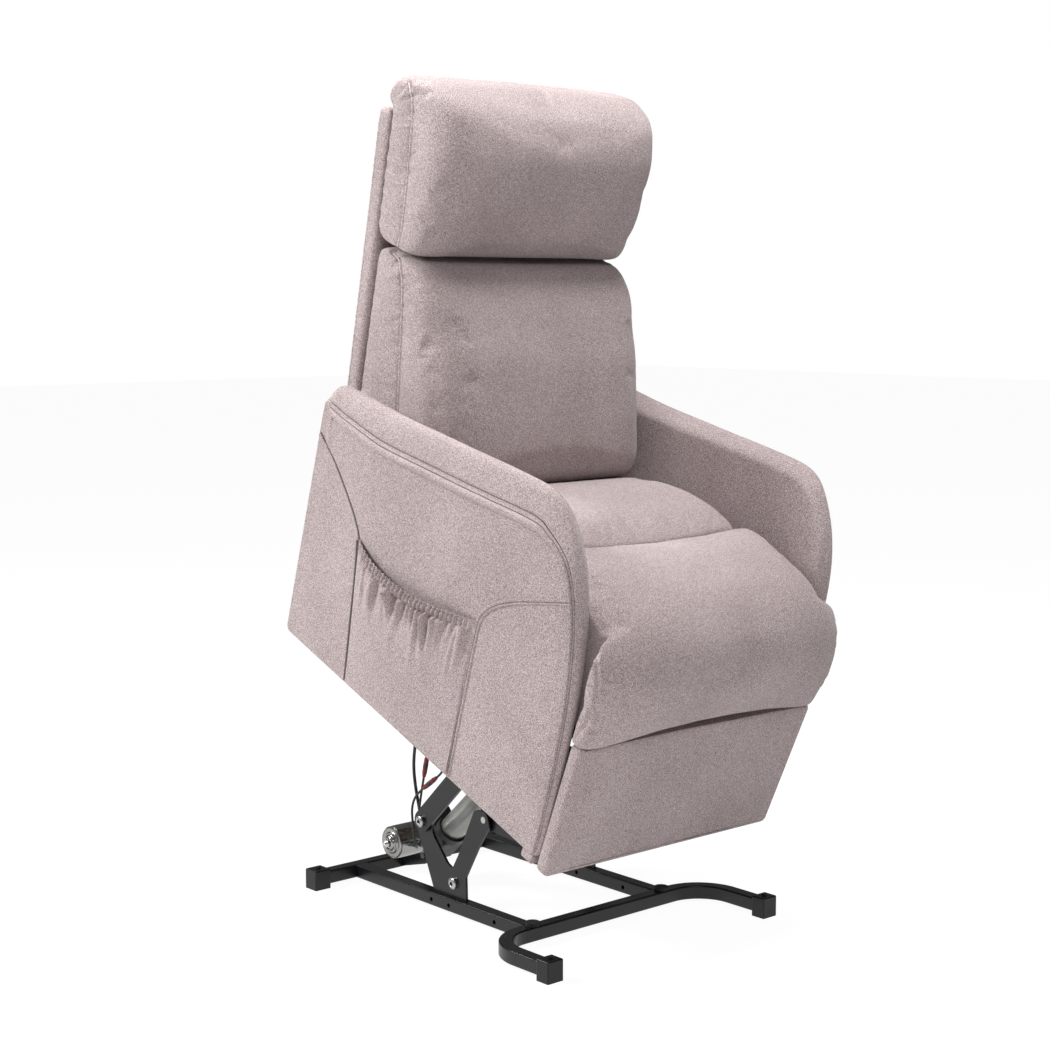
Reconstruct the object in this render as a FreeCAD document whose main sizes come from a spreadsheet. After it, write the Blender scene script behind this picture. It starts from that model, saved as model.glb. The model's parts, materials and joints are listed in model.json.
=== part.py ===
"""Lift recliner chair, raised and tilted forward as it stands when it helps its user up.

Millimetres, +Z up, the sitter faces -Y and the sitter's left is +X.  The origin is on the
floor under the middle of the whole chair.  The chair's own pieces are drawn in the chair's
frame, where X runs across, -Y runs forward and Z runs up from the side panels' rear bottom
corner, and are then placed with the raised chair's forward tilt.
"""
import FreeCAD, Part
import math
import os
import re

import Sketcher

X_AXIS = FreeCAD.Vector(1, 0, 0)
Y_AXIS = FreeCAD.Vector(0, 1, 0)
Z_AXIS = FreeCAD.Vector(0, 0, 1)

# Driving dimensions: name, value in millimetres or degrees, what it is.
SIZES = [
    ("tube", 25.4, "square steel tube of the floor frame and the lift frame"),
    ("tube_wall", 1.8, "wall of that tube"),
    ("tube_round", 3.0, "outer corner radius of that tube"),
    ("tube_lift", 6.4, "floor to the underside of the floor frame's tubes"),
    ("rear_bar_y", 388.4, "front face of the floor frame's rear bar"),
    ("rear_half", 268.0, "middle to the outer end of a rear foot cap"),
    ("rail_half", 170.0, "middle to the outer face of a floor rail"),
    ("front_bar_y", -121.0, "front face of the floor frame's front bar"),
    ("front_foot_y", -283.0, "front face of a front foot cap"),
    ("front_foot_half", 277.6, "middle to the outer face of a front foot cap"),
    ("front_bend", 78.0, "centre radius of the front bar's bends"),
    ("cap_width", 34.7, "width of a foot cap"),
    ("cap_rear_length", 34.9, "length of a rear foot cap"),
    ("cap_front_length", 29.9, "length of a front foot cap"),
    ("cap_end", 4.6, "end wall of a foot cap"),
    ("cap_rise", 5.6, "foot cap above the tube"),
    ("cap_fit", 0.2, "gap between a foot cap's socket and the tube"),
    ("screw_radius", 4.6, "head of the screw on a foot cap"),
    ("screw_head", 3.2, "height of that head"),
    ("rail_hole", 8.0, "spare holes through the floor rails"),
    ("rail_hole_rear_y", 157.9, "rear spare hole"),
    ("rail_hole_step", 50.1, "rear spare hole to the middle one"),
    ("rail_hole_front_y", -20.1, "front spare hole"),
    ("pad_radius", 13.0, "stop pad at the front of a floor rail"),
    ("pad_height", 6.5, "height of that pad"),
    ("plate", 5.0, "steel plate of risers and links"),
    ("plate_gap", 1.5, "running gap between riser and link"),
    ("riser_height", 157.0, "floor to the rear pivot"),
    ("riser_pivot_y", 190.6, "rear pivot along the chair"),
    ("front_pivot_y", 22.0, "front pivot along the chair"),
    ("front_pivot_z", 192.0, "floor to the front pivot"),
    ("riser_bolt_y", 104.5, "lower riser bolt along the chair"),
    ("riser_bolt_z", 58.5, "floor to the lower riser bolt"),
    ("riser_width", 40.0, "width of a riser's leg and of the rear link"),
    ("pivot_pin", 6.0, "radius of the lift linkage's pins"),
    ("pin_fit", 0.05, "radial clearance of a turning pin"),
    ("bolt_head", 10.5, "radius of the linkage bolts' heads"),
    ("bolt_head_thick", 4.5, "thickness of those heads"),
    ("rear_link", 260.0, "rear link between its pivots"),
    ("rear_link_rise", 43.8, "rear link above the horizontal when raised, degrees"),
    ("front_link_width", 32.0, "width of the front link"),
    ("open_eye", 2.4, "extra radius of the front link's upper eye"),
    ("hook_f", 540.0, "front link's upper pivot, forward of the chair's rear corner"),
    ("hook_u", 50.0, "front link's upper pivot, above the chair's underside"),
    ("tilt", 22.93, "forward tilt of the raised chair, degrees"),
    ("chair_y", 422.1, "side panels' rear bottom corner along the chair"),
    ("chair_z", 500.4, "floor to the side panels' rear bottom corner"),
    ("tail_y", 320.0, "actuator's rear pivot along the chair"),
    ("tail_z", 45.0, "floor to the actuator's rear pivot"),
    ("thrust_rise", 42.01, "actuator above the horizontal when raised, degrees"),
    ("thrust_x", -45.0, "actuator's middle plane"),
    ("thrust_length", 405.46, "actuator's rear pivot to the rod end's eye"),
    ("eye_slack", 5.46, "yoke's pin behind the middle of the rod end's eye"),
    ("tail_pin", 6.0, "radius of the actuator's rear pin"),
    ("tail_eye", 14.0, "radius of the actuator's rear eye"),
    ("tail_eye_width", 20.0, "width of that eye"),
    ("lug", 4.0, "thickness of the actuator's clevis plates"),
    ("gear_start", 18.0, "rear pivot to the gearbox"),
    ("gear_length", 66.0, "gearbox along the actuator"),
    ("gear_low", 24.0, "gearbox below the actuator's axis"),
    ("gear_high", 56.0, "gearbox above the actuator's axis"),
    ("gear_width", 58.0, "gearbox across"),
    ("motor_radius", 31.0, "motor can"),
    ("motor_along", 38.0, "motor's axis along the actuator"),
    ("motor_off", 24.0, "motor's axis above the actuator's axis"),
    ("motor_length", 70.0, "motor can's length"),
    ("motor_cap", 5.0, "motor's end cap"),
    ("motor_boss", 6.0, "bearing boss on that cap"),
    ("motor_boss_radius", 12.0, "radius of that boss"),
    ("shaft_radius", 4.0, "motor's shaft stub"),
    ("shaft_length", 9.0, "shaft stub beyond the boss"),
    ("barrel_radius", 25.0, "actuator's outer tube"),
    ("barrel_wall", 2.5, "wall of that tube"),
    ("barrel_length", 232.0, "length of that tube"),
    ("gland_length", 22.0, "end gland of that tube"),
    ("rod_radius", 10.0, "actuator's rod"),
    ("rod_back", 118.0, "rear pivot to the rod's inner end"),
    ("eye_radius", 21.0, "rod end's eye"),
    ("eye_hole", 12.2, "hole of that eye"),
    ("eye_width", 16.0, "width of that eye"),
    ("yoke_gap", 2.0, "gap beside the rod end"),
    ("yoke_width", 30.0, "height of the yoke's plates at the pin"),
    ("lift_rail_inner", 178.0, "middle to the inner face of a lift rail"),
    ("lift_rail_start", 40.0, "lift rail's rear end, forward"),
    ("lift_rail_end", 690.0, "lift rail's front end, forward"),
    ("cross_rear_f", 40.0, "rear cross tube, forward"),
    ("cross_front_f", 600.0, "front cross tube, forward"),
    ("panel_half", 304.0, "middle to a side panel's outer face at its bottom edge"),
    ("panel_lean", 4.4, "outward lean of a side panel, degrees"),
    ("panel_toe", 2.84, "inward turn of a side panel towards the front, degrees"),
    ("panel_drop", 22.0, "side panel's front bottom corner below its rear one"),
    ("arm_foot", 54.0, "thickness of an arm at its bottom edge"),
    ("arm_lean", 2.5, "outward lean of an arm's inner face, degrees"),
    ("arm_length", 721.0, "length of an arm"),
    ("arm_rear", 500.0, "height of an arm at its rear"),
    ("arm_front", 575.0, "greatest height of an arm"),
    ("soft_gap", 0.4, "gap between a soft piece and its neighbour"),
    ("wood_gap", 0.2, "gap between a wooden or steel end and the arm beside it"),
    ("seat_ease", 2.0, "seat cushion inside the recline plates"),
    ("roll_inset", 4.0, "front roll inside the side panels' rear bottom corners"),
    ("lumbar_spread", 12.0, "lumbar cushion beyond the arms' inner faces at their bottom edge"),
    ("head_spread", 2.0, "head cushion beyond those faces"),
    ("rest_spread", 18.0, "footrest beyond those faces"),
    ("leg_inset", 38.0, "footrest links inside those faces"),
    ("box_inset", 40.0, "middle of the control box inside those faces"),
    ("board", 18.0, "thickness of the wooden boards"),
    ("board_top", 285.0, "top of the rear board"),
    ("seat_rail_low", 214.0, "underside of the seat frame's side rails"),
    ("seat_rail_high", 240.0, "top of the seat frame"),
    ("seat_rail_width", 36.0, "width of the seat frame's side rails"),
    ("seat_rail_end", 640.0, "front end of the seat frame"),
    ("seat_beam_f", 484.0, "seat frame's front beam, forward"),
    ("seat_beam", 28.0, "thickness of that beam"),
    ("seat_split_f", 523.0, "seam between seat cushion and front roll, forward"),
    ("seat_top", 432.0, "top of the seat cushion"),
    ("roll_step", 3.0, "front roll's ears in front of the arms"),
    ("roll_front", 788.0, "front of the front roll, forward"),
    ("roll_low", 228.0, "underside of the front roll"),
    ("shell", 38.0, "thickness of the back shell"),
    ("shell_low", 300.0, "bottom of the back shell"),
    ("shell_high", 960.0, "top of the back shell"),
    ("recline_f", -12.0, "recline pivot, forward"),
    ("recline_u", 318.0, "recline pivot, up"),
    ("recline_pin", 5.0, "radius of the recline pins"),
    ("recline_side", 5.0, "gap between the back shell and a recline plate"),
    ("recline_drop", 60.0, "recline pivot to the bottom of a recline plate"),
    ("lumbar_low", 396.0, "bottom of the lumbar cushion"),
    ("lumbar_high", 741.0, "top of the lumbar cushion"),
    ("lumbar_depth", 276.0, "lumbar cushion's deepest point, forward"),
    ("head_low", 744.0, "bottom of the head cushion"),
    ("head_high", 1040.0, "top of the head cushion"),
    ("head_depth", 88.0, "head cushion's deepest point, forward"),
    ("cushion_round", 56.0, "how far in from its side a cushion is full"),
    ("leg_root_f", 528.0, "footrest linkage's fixed pivot, forward"),
    ("leg_root_u", 200.0, "footrest linkage's fixed pivot, up"),
    ("leg_reach", 152.0, "fixed pivot to the footrest's pivot, stowed"),
    ("leg_link", 140.0, "footrest links between pivots"),
    ("leg_width", 22.0, "width of the footrest links"),
    ("leg_plate", 5.0, "thickness of the footrest links"),
    ("leg_pin", 4.0, "radius of the footrest linkage's pins"),
    ("leg_gap", 0.6, "running gap between the footrest links"),
    ("rest_front", 760.0, "front of the footrest, forward"),
    ("rest_thick", 30.0, "thickness of the footrest"),
    ("rest_low", -38.0, "bottom of the footrest"),
    ("rest_high", 206.0, "top of the footrest"),
    ("rest_round", 12.0, "rounding of the footrest's edges"),
    ("pocket_skin", 3.0, "thickness of the side pocket's fabric"),
    ("pocket_mouth", 15.0, "opening of the side pocket"),
    ("pocket_hem", 9.0, "width of the pocket's sewn edge"),
    ("gland_radius", 4.5, "radius of the motor's lead glands"),
    ("gland_reach", 8.0, "glands beyond the motor can"),
    ("lead_radius", 3.0, "motor's lead"),
    ("wire_radius", 2.2, "thin wires to the connectors"),
    ("plug_length", 22.0, "half of a connector pair"),
    ("plug_radius", 4.6, "radius of a connector"),
    ("box_length", 90.0, "control box along the chair"),
    ("box_width", 56.0, "control box across"),
    ("box_height", 34.0, "height of the control box"),
    ("box_f", 210.0, "middle of the control box, forward"),
]

# Sizes that follow from the ones above: name, formula, what it is.
FITTED = [
    ("yoke_length", "thrust_length - eye_slack", "actuator's rear pivot to the yoke's pin"),
    ("arm_inner", "panel_half - arm_foot", "middle to an arm's inner face at its bottom edge"),
    ("board_half", "arm_inner + tube * tan(arm_lean * 1deg) - wood_gap",
     "middle to the end of the rear board and of the cross tubes"),
    ("seat_frame_half", "arm_inner + seat_rail_low * tan(arm_lean * 1deg) - wood_gap",
     "middle to the side of the seat frame"),
    ("recline_half", "arm_inner + (recline_u - recline_drop) * tan(arm_lean * 1deg) - wood_gap",
     "middle to the outer face of a recline plate"),
    ("shell_half", "recline_half - plate - recline_side", "middle to the side of the back shell"),
    ("seat_half", "recline_half - plate - seat_ease", "middle to the side of the seat cushion"),
    ("roll_half", "panel_half - roll_inset", "middle to the side of the front roll"),
    ("lumbar_half", "arm_inner + lumbar_spread", "middle to the side of the lumbar cushion"),
    ("head_half", "arm_inner + head_spread", "middle to the side of the head cushion"),
    ("rest_half", "arm_inner + rest_spread", "middle to the side of the footrest"),
    ("leg_x", "arm_inner - leg_inset", "middle to the inner face of the footrest links"),
    ("box_x", "arm_inner - box_inset", "middle to the middle of the control box"),
]

doc = FreeCAD.newDocument("LiftRecliner")
sheet = doc.addObject("Spreadsheet::Sheet", "Sizes")
NAMES = {row[0] for row in SIZES + FITTED}
SIZE = {}


def fill_sheet():
    """Write every driving dimension, and every size fitted to them, into its own named cell."""
    rows = SIZES + [(name, "=" + text, note) for name, text, note in FITTED]
    for number, (name, value, note) in enumerate(rows, 1):
        sheet.set(f"A{number}", name)
        sheet.set(f"B{number}", str(value))
        sheet.set(f"C{number}", note)
        sheet.setAlias(f"B{number}", name)
    doc.recompute()
    for name in NAMES:
        SIZE[name] = float(sheet.get(name))


fill_sheet()


def formula(text):
    """Return an expression in which each size's name points at its cell."""
    return re.sub(r"[a-z_]+", lambda word: "Sizes." + word[0] if word[0] in NAMES else word[0], text)


def val(text):
    """Return the value of a short formula of size names."""
    words = re.sub(r"[a-z_]+", lambda word: repr(SIZE[word[0]]), text)
    total = FreeCAD.Units.Quantity(words)
    return float(total.Value)


def bind(target, prop, text):
    """Bind one property of an object to a formula of sizes."""
    target.setExpression(prop, formula(text))


def vec(x, y, z):
    return FreeCAD.Vector(x, y, z)


# Derived places, all from the values above.
TILT = math.radians(SIZE["tilt"])
CHAIR = FreeCAD.Placement(vec(0, SIZE["chair_y"], SIZE["chair_z"]), FreeCAD.Rotation(X_AXIS, SIZE["tilt"]))
TUBE = SIZE["tube"]
TUBE_TOP = SIZE["tube_lift"] + TUBE
RAIL_MID = SIZE["rail_half"] - TUBE / 2
RISER_IN = RAIL_MID - SIZE["plate"] / 2
RISER_OUT = RISER_IN + SIZE["plate"]
REAR_LINK_X = RISER_OUT + SIZE["plate_gap"]
FRONT_LINK_X = RISER_IN - SIZE["plate_gap"] - SIZE["plate"] - SIZE["plate_gap"]
REAR_PIVOT = vec(0, SIZE["riser_pivot_y"], SIZE["riser_height"])
FRONT_PIVOT = vec(0, SIZE["front_pivot_y"], SIZE["front_pivot_z"])
TAIL = vec(0, SIZE["tail_y"], SIZE["tail_z"])
LEAD_PLACES = (-108.0, -118.0, -128.0)
THRUST = FreeCAD.Placement(vec(SIZE["thrust_x"], SIZE["tail_y"], SIZE["tail_z"]),
                           FreeCAD.Rotation(X_AXIS, -SIZE["thrust_rise"]))


def chair_point(x, forward, up):
    """Return the world point of a place given in the chair's frame."""
    return CHAIR.multVec(vec(x, -forward, up))


def chair_coords(point):
    """Return how far forward and up of the chair's corner a world point lies."""
    local = CHAIR.inverse().multVec(point)
    return -local.y, local.z


def link_head():
    """Return the world place of the rear link's upper pivot."""
    rise = math.radians(SIZE["rear_link_rise"])
    reach = SIZE["rear_link"]
    return REAR_PIVOT + vec(0, -reach * math.cos(rise), reach * math.sin(rise))


def yoke_point():
    """Return the world place of the yoke's pin, on the actuator's line."""
    rise = math.radians(SIZE["thrust_rise"])
    return TAIL + vec(0, -SIZE["yoke_length"] * math.cos(rise), SIZE["yoke_length"] * math.sin(rise))


LINK_HEAD = link_head()
HEAD_F, HEAD_U = chair_coords(LINK_HEAD)
YOKE_F, YOKE_U = chair_coords(yoke_point())

NODES = {}


def node(target, name, placement=None):
    """Name a finished sub-part, and place it."""
    target.Label = name
    if placement is not None:
        target.Placement = placement
    NODES[name] = target
    return target


def add(kind, name):
    return doc.addObject(kind, name)


def box(name, size, corner):
    """Make a box whose size and corner are formulas of sizes."""
    made = add("Part::Box", name)
    for prop, text in zip(("Length", "Width", "Height"), size):
        bind(made, prop, text)
    for axis, text in zip("xyz", corner):
        bind(made, "Placement.Base." + axis, text)
    return made


def placed_box(name, size, corner, placement):
    """Make a box whose size is bound to the sheet, at a corner of another frame."""
    made = add("Part::Box", name)
    for prop, text in zip(("Length", "Width", "Height"), size):
        bind(made, prop, text)
    made.Placement = placement * FreeCAD.Placement(vec(*(val(text) for text in corner)), FreeCAD.Rotation())
    return made


def bar(name, radius, length, start, axis=X_AXIS):
    """Make a round bar from a start point along an axis; its length is a formula or a number."""
    made = add("Part::Cylinder", name)
    made.Placement = FreeCAD.Placement(start, FreeCAD.Rotation(Z_AXIS, axis))
    bind(made, "Radius", radius)
    if isinstance(length, str):
        bind(made, "Height", length)
    else:
        made.Height = length
    return made


def cut(name, base, tool):
    """Cut one object, or several fused ones, from another."""
    made = add("Part::Cut", name)
    made.Base = base
    made.Tool = tool if not isinstance(tool, list) else join(name + "Tools", tool)
    return made


def join(name, pieces):
    """Fuse several objects into one."""
    if len(pieces) == 1:
        return pieces[0]
    made = add("Part::MultiFuse", name)
    made.Shapes = pieces
    made.Refine = True
    return made


def group(name, pieces):
    """Hold several like pieces in one compound."""
    made = add("Part::Compound", name)
    made.Links = pieces
    return made


def outline(points, rounds=None):
    """Return the edges of a closed outline with rounded corners, as straight and arc geometry."""
    count = len(points)
    rounds = rounds or [0.0] * count
    starts, ends, arcs = [], [], []
    for index in range(count):
        here = vec(points[index][0], points[index][1], 0)
        before = vec(points[index - 1][0], points[index - 1][1], 0) - here
        after = vec(points[(index + 1) % count][0], points[(index + 1) % count][1], 0) - here
        if rounds[index] <= 0:
            starts.append(here)
            ends.append(here)
            arcs.append(None)
            continue
        half = before.getAngle(after) / 2
        limit = 0.49 * min(before.Length, after.Length)
        step = min(rounds[index] / math.tan(half), limit)
        radius = step * math.tan(half)
        before.normalize()
        after.normalize()
        middle = before + after
        middle.normalize()
        centre = here + middle * (radius / math.sin(half))
        first = here + before * step
        last = here + after * step
        mid = centre - middle * radius
        starts.append(first)
        ends.append(last)
        arcs.append(Part.Arc(first, mid, last))
    made = []
    for index in range(count):
        if arcs[index] is not None:
            made.append(arcs[index])
        following = starts[(index + 1) % count]
        if (following - ends[index]).Length > 1e-6:
            made.append(Part.LineSegment(ends[index], following))
    return made


def sketch(name, geometry, placement):
    """Make a free sketch from ready geometry."""
    made = add("Sketcher::SketchObject", name)
    made.Placement = placement
    for piece in geometry:
        made.addGeometry(piece, False)
    return made


# Sketch planes: the first sketch axis is -Y (forward) or Y, the second is Z.
SIDE_PLANE = FreeCAD.Rotation(vec(0, 1, 0), vec(0, 0, 1), vec(1, 0, 0), "ZXY")


def side_solid(name, points, start, width, rounds=None, placement=None):
    """Extrude an outline of (y, z) points across the chair, from x = start over a width."""
    plane = FreeCAD.Placement(vec(val(start), 0, 0), SIDE_PLANE)
    drawn = sketch(name + "Outline", outline(points, rounds), plane)
    made = add("Part::Extrusion", name)
    made.Base = drawn
    made.DirMode = "Custom"
    made.Dir = X_AXIS
    made.Solid = True
    bind(made, "LengthFwd", width)
    if placement is not None:
        made.Placement = placement
    return made


def plate_body(name, points, rounds, holes, x, thick):
    """Make a flat steel plate in the side plane with round holes, as a body with a pad and a pocket."""
    body = add("PartDesign::Body", name)
    plane = [part for part in body.Origin.OriginFeatures if part.Role == "YZ_Plane"][0]
    shape = body.newObject("Sketcher::SketchObject", name + "Shape")
    shape.AttachmentSupport = [(plane, "")]
    shape.MapMode = "FlatFace"
    for piece in outline(points, rounds):
        shape.addGeometry(piece, False)
    pad = body.newObject("PartDesign::Pad", name + "Pad")
    pad.Profile = shape
    bind(pad, "Length", thick)
    doc.recompute()
    if holes:
        drilled = body.newObject("Sketcher::SketchObject", name + "Holes")
        drilled.AttachmentSupport = [(plane, "")]
        drilled.MapMode = "FlatFace"
        for index, (y, z, radius) in enumerate(holes):
            drilled.addGeometry(Part.Circle(vec(y, z, 0), Z_AXIS, val(radius)), False)
            drilled.addConstraint(Sketcher.Constraint("Radius", index, val(radius)))
            drilled.setExpression(f"Constraints[{index}]", formula(radius))
        pocket = body.newObject("PartDesign::Pocket", name + "Pocket")
        pocket.Profile = drilled
        pocket.Type = "ThroughAll"
        pocket.Midplane = True
        body.Tip = pocket
    body.Placement = FreeCAD.Placement(vec(x, 0, 0), FreeCAD.Rotation())
    return body


def both_sides(make, name, x, thick):
    """Make a plate for the left and one for the right, as a mirror pair about the middle."""
    left = node(make(name.title().replace("_", "") + "L", x), name + "_l")
    right = node(make(name.title().replace("_", "") + "R", -x - val(thick)), name + "_r")
    return left, right


def section(name, points, x, rounds=None):
    """Draw one cross-section of a cushion at a place across the chair."""
    return sketch(name, outline(points, rounds), FreeCAD.Placement(vec(x, 0, 0), SIDE_PLANE))


def cushion(name, half, full, edge):
    """Loft a cushion through its side seam's outline and its full outline, left to right."""
    round_in = SIZE["cushion_round"]
    places = [-half, -half + round_in, half - round_in, half]
    drawn = [section(name + "Section" + str(index), points, x)
             for index, (points, x) in enumerate(zip([edge, full, full, edge], places))]
    made = add("Part::Loft", name)
    made.Sections = drawn
    made.Solid = True
    made.Ruled = True
    return made


def forward(points):
    """Turn (forward, up) points into the chair frame's (y, z)."""
    return [(-f, u) for f, u in points]


# The floor frame.

def square_tube(name, length, x, y, z, along):
    """Make a hollow square tube with rounded corners, along X or Y, from its lowest corner."""
    wall = "tube_wall"
    span = {"x": (length, "tube", "tube"), "y": ("tube", length, "tube")}[along]
    outer = box(name + "Outer", span, (x, y, z))
    rounded = add("Part::Fillet", name + "Rounded")
    rounded.Base = outer
    doc.recompute()
    long_edges = []
    direction = X_AXIS if along == "x" else Y_AXIS
    for index, edge in enumerate(outer.Shape.Edges, 1):
        if abs(abs(edge.tangentAt(edge.FirstParameter).dot(direction)) - 1) < 1e-6:
            long_edges.append((index, SIZE["tube_round"], SIZE["tube_round"]))
    rounded.Edges = long_edges
    inner_span = tuple(text if text == length else f"{text} - 2 * {wall}" for text in span)
    shift = {"x": (x, f"{y} + {wall}", f"{z} + {wall}"), "y": (f"{x} + {wall}", y, f"{z} + {wall}")}[along]
    inner = box(name + "Inner", inner_span, shift)
    return cut(name, rounded, inner)


def rear_bar():
    """Make the floor frame's rear bar; its ends sit in the foot caps."""
    half = "(rear_half - cap_end)"
    made = square_tube("RearBar", f"2 * {half}", f"-{half}", "rear_bar_y", "tube_lift", "x")
    return node(made, "base_rear_bar")


def rail(side):
    """Make one floor rail with its spare holes, between the rear bar and the front bar."""
    left = side == "l"
    name = "Rail" + side.upper()
    x = "rail_half - tube" if left else "-rail_half"
    length = "rear_bar_y - front_bar_y - tube"
    made = square_tube(name, length, x, "front_bar_y + tube", "tube_lift", "y")
    start = SIZE["rail_half"] - TUBE - 1 if left else -SIZE["rail_half"] - 1
    rear = SIZE["rail_hole_rear_y"]
    drills = []
    for index, y in enumerate((rear, rear - SIZE["rail_hole_step"], SIZE["rail_hole_front_y"])):
        middle = SIZE["tube_lift"] + TUBE / 2 - SIZE["tube_wall"] / 2
        drills.append(bar(f"{name}Drill{index}", "rail_hole / 2", "tube + 2", vec(start, y, middle)))
    return node(cut(name + "Drilled", made, drills), "base_rail_" + side)


def front_bar():
    """Sweep the front bar along its straight middle, its two bends and its two legs."""
    mid_y = SIZE["front_bar_y"] + TUBE / 2
    mid_z = SIZE["tube_lift"] + TUBE / 2
    leg_x = SIZE["front_foot_half"] - SIZE["cap_width"] / 2
    bend = SIZE["front_bend"]
    end_y = SIZE["front_foot_y"] + SIZE["cap_end"]
    near, slant = leg_x - bend, bend * math.sqrt(0.5)
    edges = [
        Part.LineSegment(vec(-leg_x, end_y, mid_z), vec(-leg_x, mid_y - bend, mid_z)),
        Part.Arc(vec(-leg_x, mid_y - bend, mid_z), vec(-near - slant, mid_y - bend + slant, mid_z),
                 vec(-near, mid_y, mid_z)),
        Part.LineSegment(vec(-near, mid_y, mid_z), vec(near, mid_y, mid_z)),
        Part.Arc(vec(near, mid_y, mid_z), vec(near + slant, mid_y - bend + slant, mid_z),
                 vec(leg_x, mid_y - bend, mid_z)),
        Part.LineSegment(vec(leg_x, mid_y - bend, mid_z), vec(leg_x, end_y, mid_z)),
    ]
    path = Part.Wire([edge.toShape() for edge in edges])
    half, inner = TUBE / 2, TUBE / 2 - SIZE["tube_wall"]

    def ring(reach, corner):
        points = [(-reach, -reach), (reach, -reach), (reach, reach), (-reach, reach)]
        wire = Part.Wire([piece.toShape() for piece in outline(points, [corner] * 4)])
        wire.Placement = FreeCAD.Placement(vec(-leg_x, end_y, mid_z), FreeCAD.Rotation(Z_AXIS, Y_AXIS))
        return wire

    shell = path.makePipeShell([ring(half, SIZE["tube_round"])], True, False, 1)
    core = path.makePipeShell([ring(inner, SIZE["tube_round"] - SIZE["tube_wall"])], True, False, 1)
    made = add("Part::Feature", "FrontBar")
    made.Shape = shell.cut(core)
    return node(made, "base_front_bar")


def foot_cap(name, label, along, x, y):
    """Make one foot cap: a block with a socket for the tube, closed at its outer end."""
    length = "cap_rear_length" if along == "x" else "cap_front_length"
    span = (length, "cap_width") if along == "x" else ("cap_width", length)
    corner = (x, y)
    outer = box(name + "Block", (*span, "tube_lift + tube + cap_rise"), (*corner, "0"))
    rounded = add("Part::Fillet", name + "Rounded")
    rounded.Base = outer
    doc.recompute()
    rounded.Edges = [(index, 2.5, 2.5) for index, edge in enumerate(outer.Shape.Edges, 1)
                     if edge.CenterOfMass.z > 0.5]
    side = "(cap_width - tube) / 2 - cap_fit"
    hole = "tube + 2 * cap_fit"
    deep = f"{length} - cap_end"
    if along == "x":
        start = x if x.startswith("rear_half") else f"{x} + cap_end"
        socket = box(name + "Socket", (deep, hole, hole), (start, f"{y} + {side}", "tube_lift - cap_fit"))
    else:
        corner = (f"{x} + {side}", f"{y} + cap_end", "tube_lift - cap_fit")
        socket = box(name + "Socket", (hole, deep, hole), corner)
    return node(cut(name, rounded, socket), label)


def foot_caps():
    """Make the four foot caps and the screws in their tops."""
    rear_y = "rear_bar_y + tube / 2 - cap_width / 2"
    foot_cap("CapRearL", "foot_cap_rear_l", "x", "rear_half - cap_rear_length", rear_y)
    foot_cap("CapRearR", "foot_cap_rear_r", "x", "-rear_half", rear_y)
    foot_cap("CapFrontL", "foot_cap_front_l", "y", "front_foot_half - cap_width", "front_foot_y")
    foot_cap("CapFrontR", "foot_cap_front_r", "y", "-front_foot_half", "front_foot_y")
    top = TUBE_TOP + SIZE["cap_rise"]
    rear_x = SIZE["rear_half"] - SIZE["cap_rear_length"] / 2
    front_x = SIZE["front_foot_half"] - SIZE["cap_width"] / 2
    places = [(rear_x, SIZE["rear_bar_y"] + TUBE / 2), (-rear_x, SIZE["rear_bar_y"] + TUBE / 2),
              (front_x, SIZE["front_foot_y"] + SIZE["cap_front_length"] / 2),
              (-front_x, SIZE["front_foot_y"] + SIZE["cap_front_length"] / 2)]
    heads = [bar(f"CapScrew{index}", "screw_radius", "screw_head", vec(x, y, top), Z_AXIS)
             for index, (x, y) in enumerate(places)]
    node(group("CapScrews", heads), "foot_cap_screws")


def stop_pads():
    """Make the rubber stop pads on the front ends of the floor rails."""
    y = SIZE["front_bar_y"] + TUBE / 2
    pads = [bar("StopPad" + str(index), "pad_radius", "pad_height", vec(x, y, TUBE_TOP), Z_AXIS)
            for index, x in enumerate((RAIL_MID, -RAIL_MID))]
    node(group("StopPads", pads), "stop_pads")


# The lift linkage.

def riser_points():
    """Return the V-shaped riser's outline as (y, z) points with corner radii."""
    py, pz = REAR_PIVOT.y, REAR_PIVOT.z
    fy, fz = FRONT_PIVOT.y, FRONT_PIVOT.z
    half = SIZE["riser_width"] / 2
    by, bz = SIZE["riser_bolt_y"], SIZE["riser_bolt_z"]
    return [
        (by + 57.0, TUBE_TOP, 0.0), (py + half - 1.0, pz - half, 0.0),
        (py + half, pz + half - 1.0, half - 2.0), (py - half, pz + half - 1.0, half - 2.0),
        (py - half - 4.0, pz - half, 30.0), (by + 19.5, bz + 33.0, 6.0),
        (by + 5.0, bz + 26.0, 6.0), (by - 12.0, bz + 54.0, 0.0), (fy + 24.0, fz + 14.0, 12.0),
        (fy - 8.0, fz + 16.0, 14.0), (fy - 18.0, fz - 8.0, 12.0), (by - 69.0, bz + 80.0, 8.0),
        (by - 33.0, bz + 18.0, 10.0), (by - 34.4, TUBE_TOP, 0.0),
    ]


def riser(name, x):
    corners = riser_points()
    holes = [(REAR_PIVOT.y, REAR_PIVOT.z, "pivot_pin"), (FRONT_PIVOT.y, FRONT_PIVOT.z, "pivot_pin"),
             (SIZE["riser_bolt_y"], SIZE["riser_bolt_z"], "pivot_pin")]
    points = [(y, z) for y, z, _ in corners]
    return plate_body(name, points, [round_ for _, _, round_ in corners], holes, x, "plate")


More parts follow.
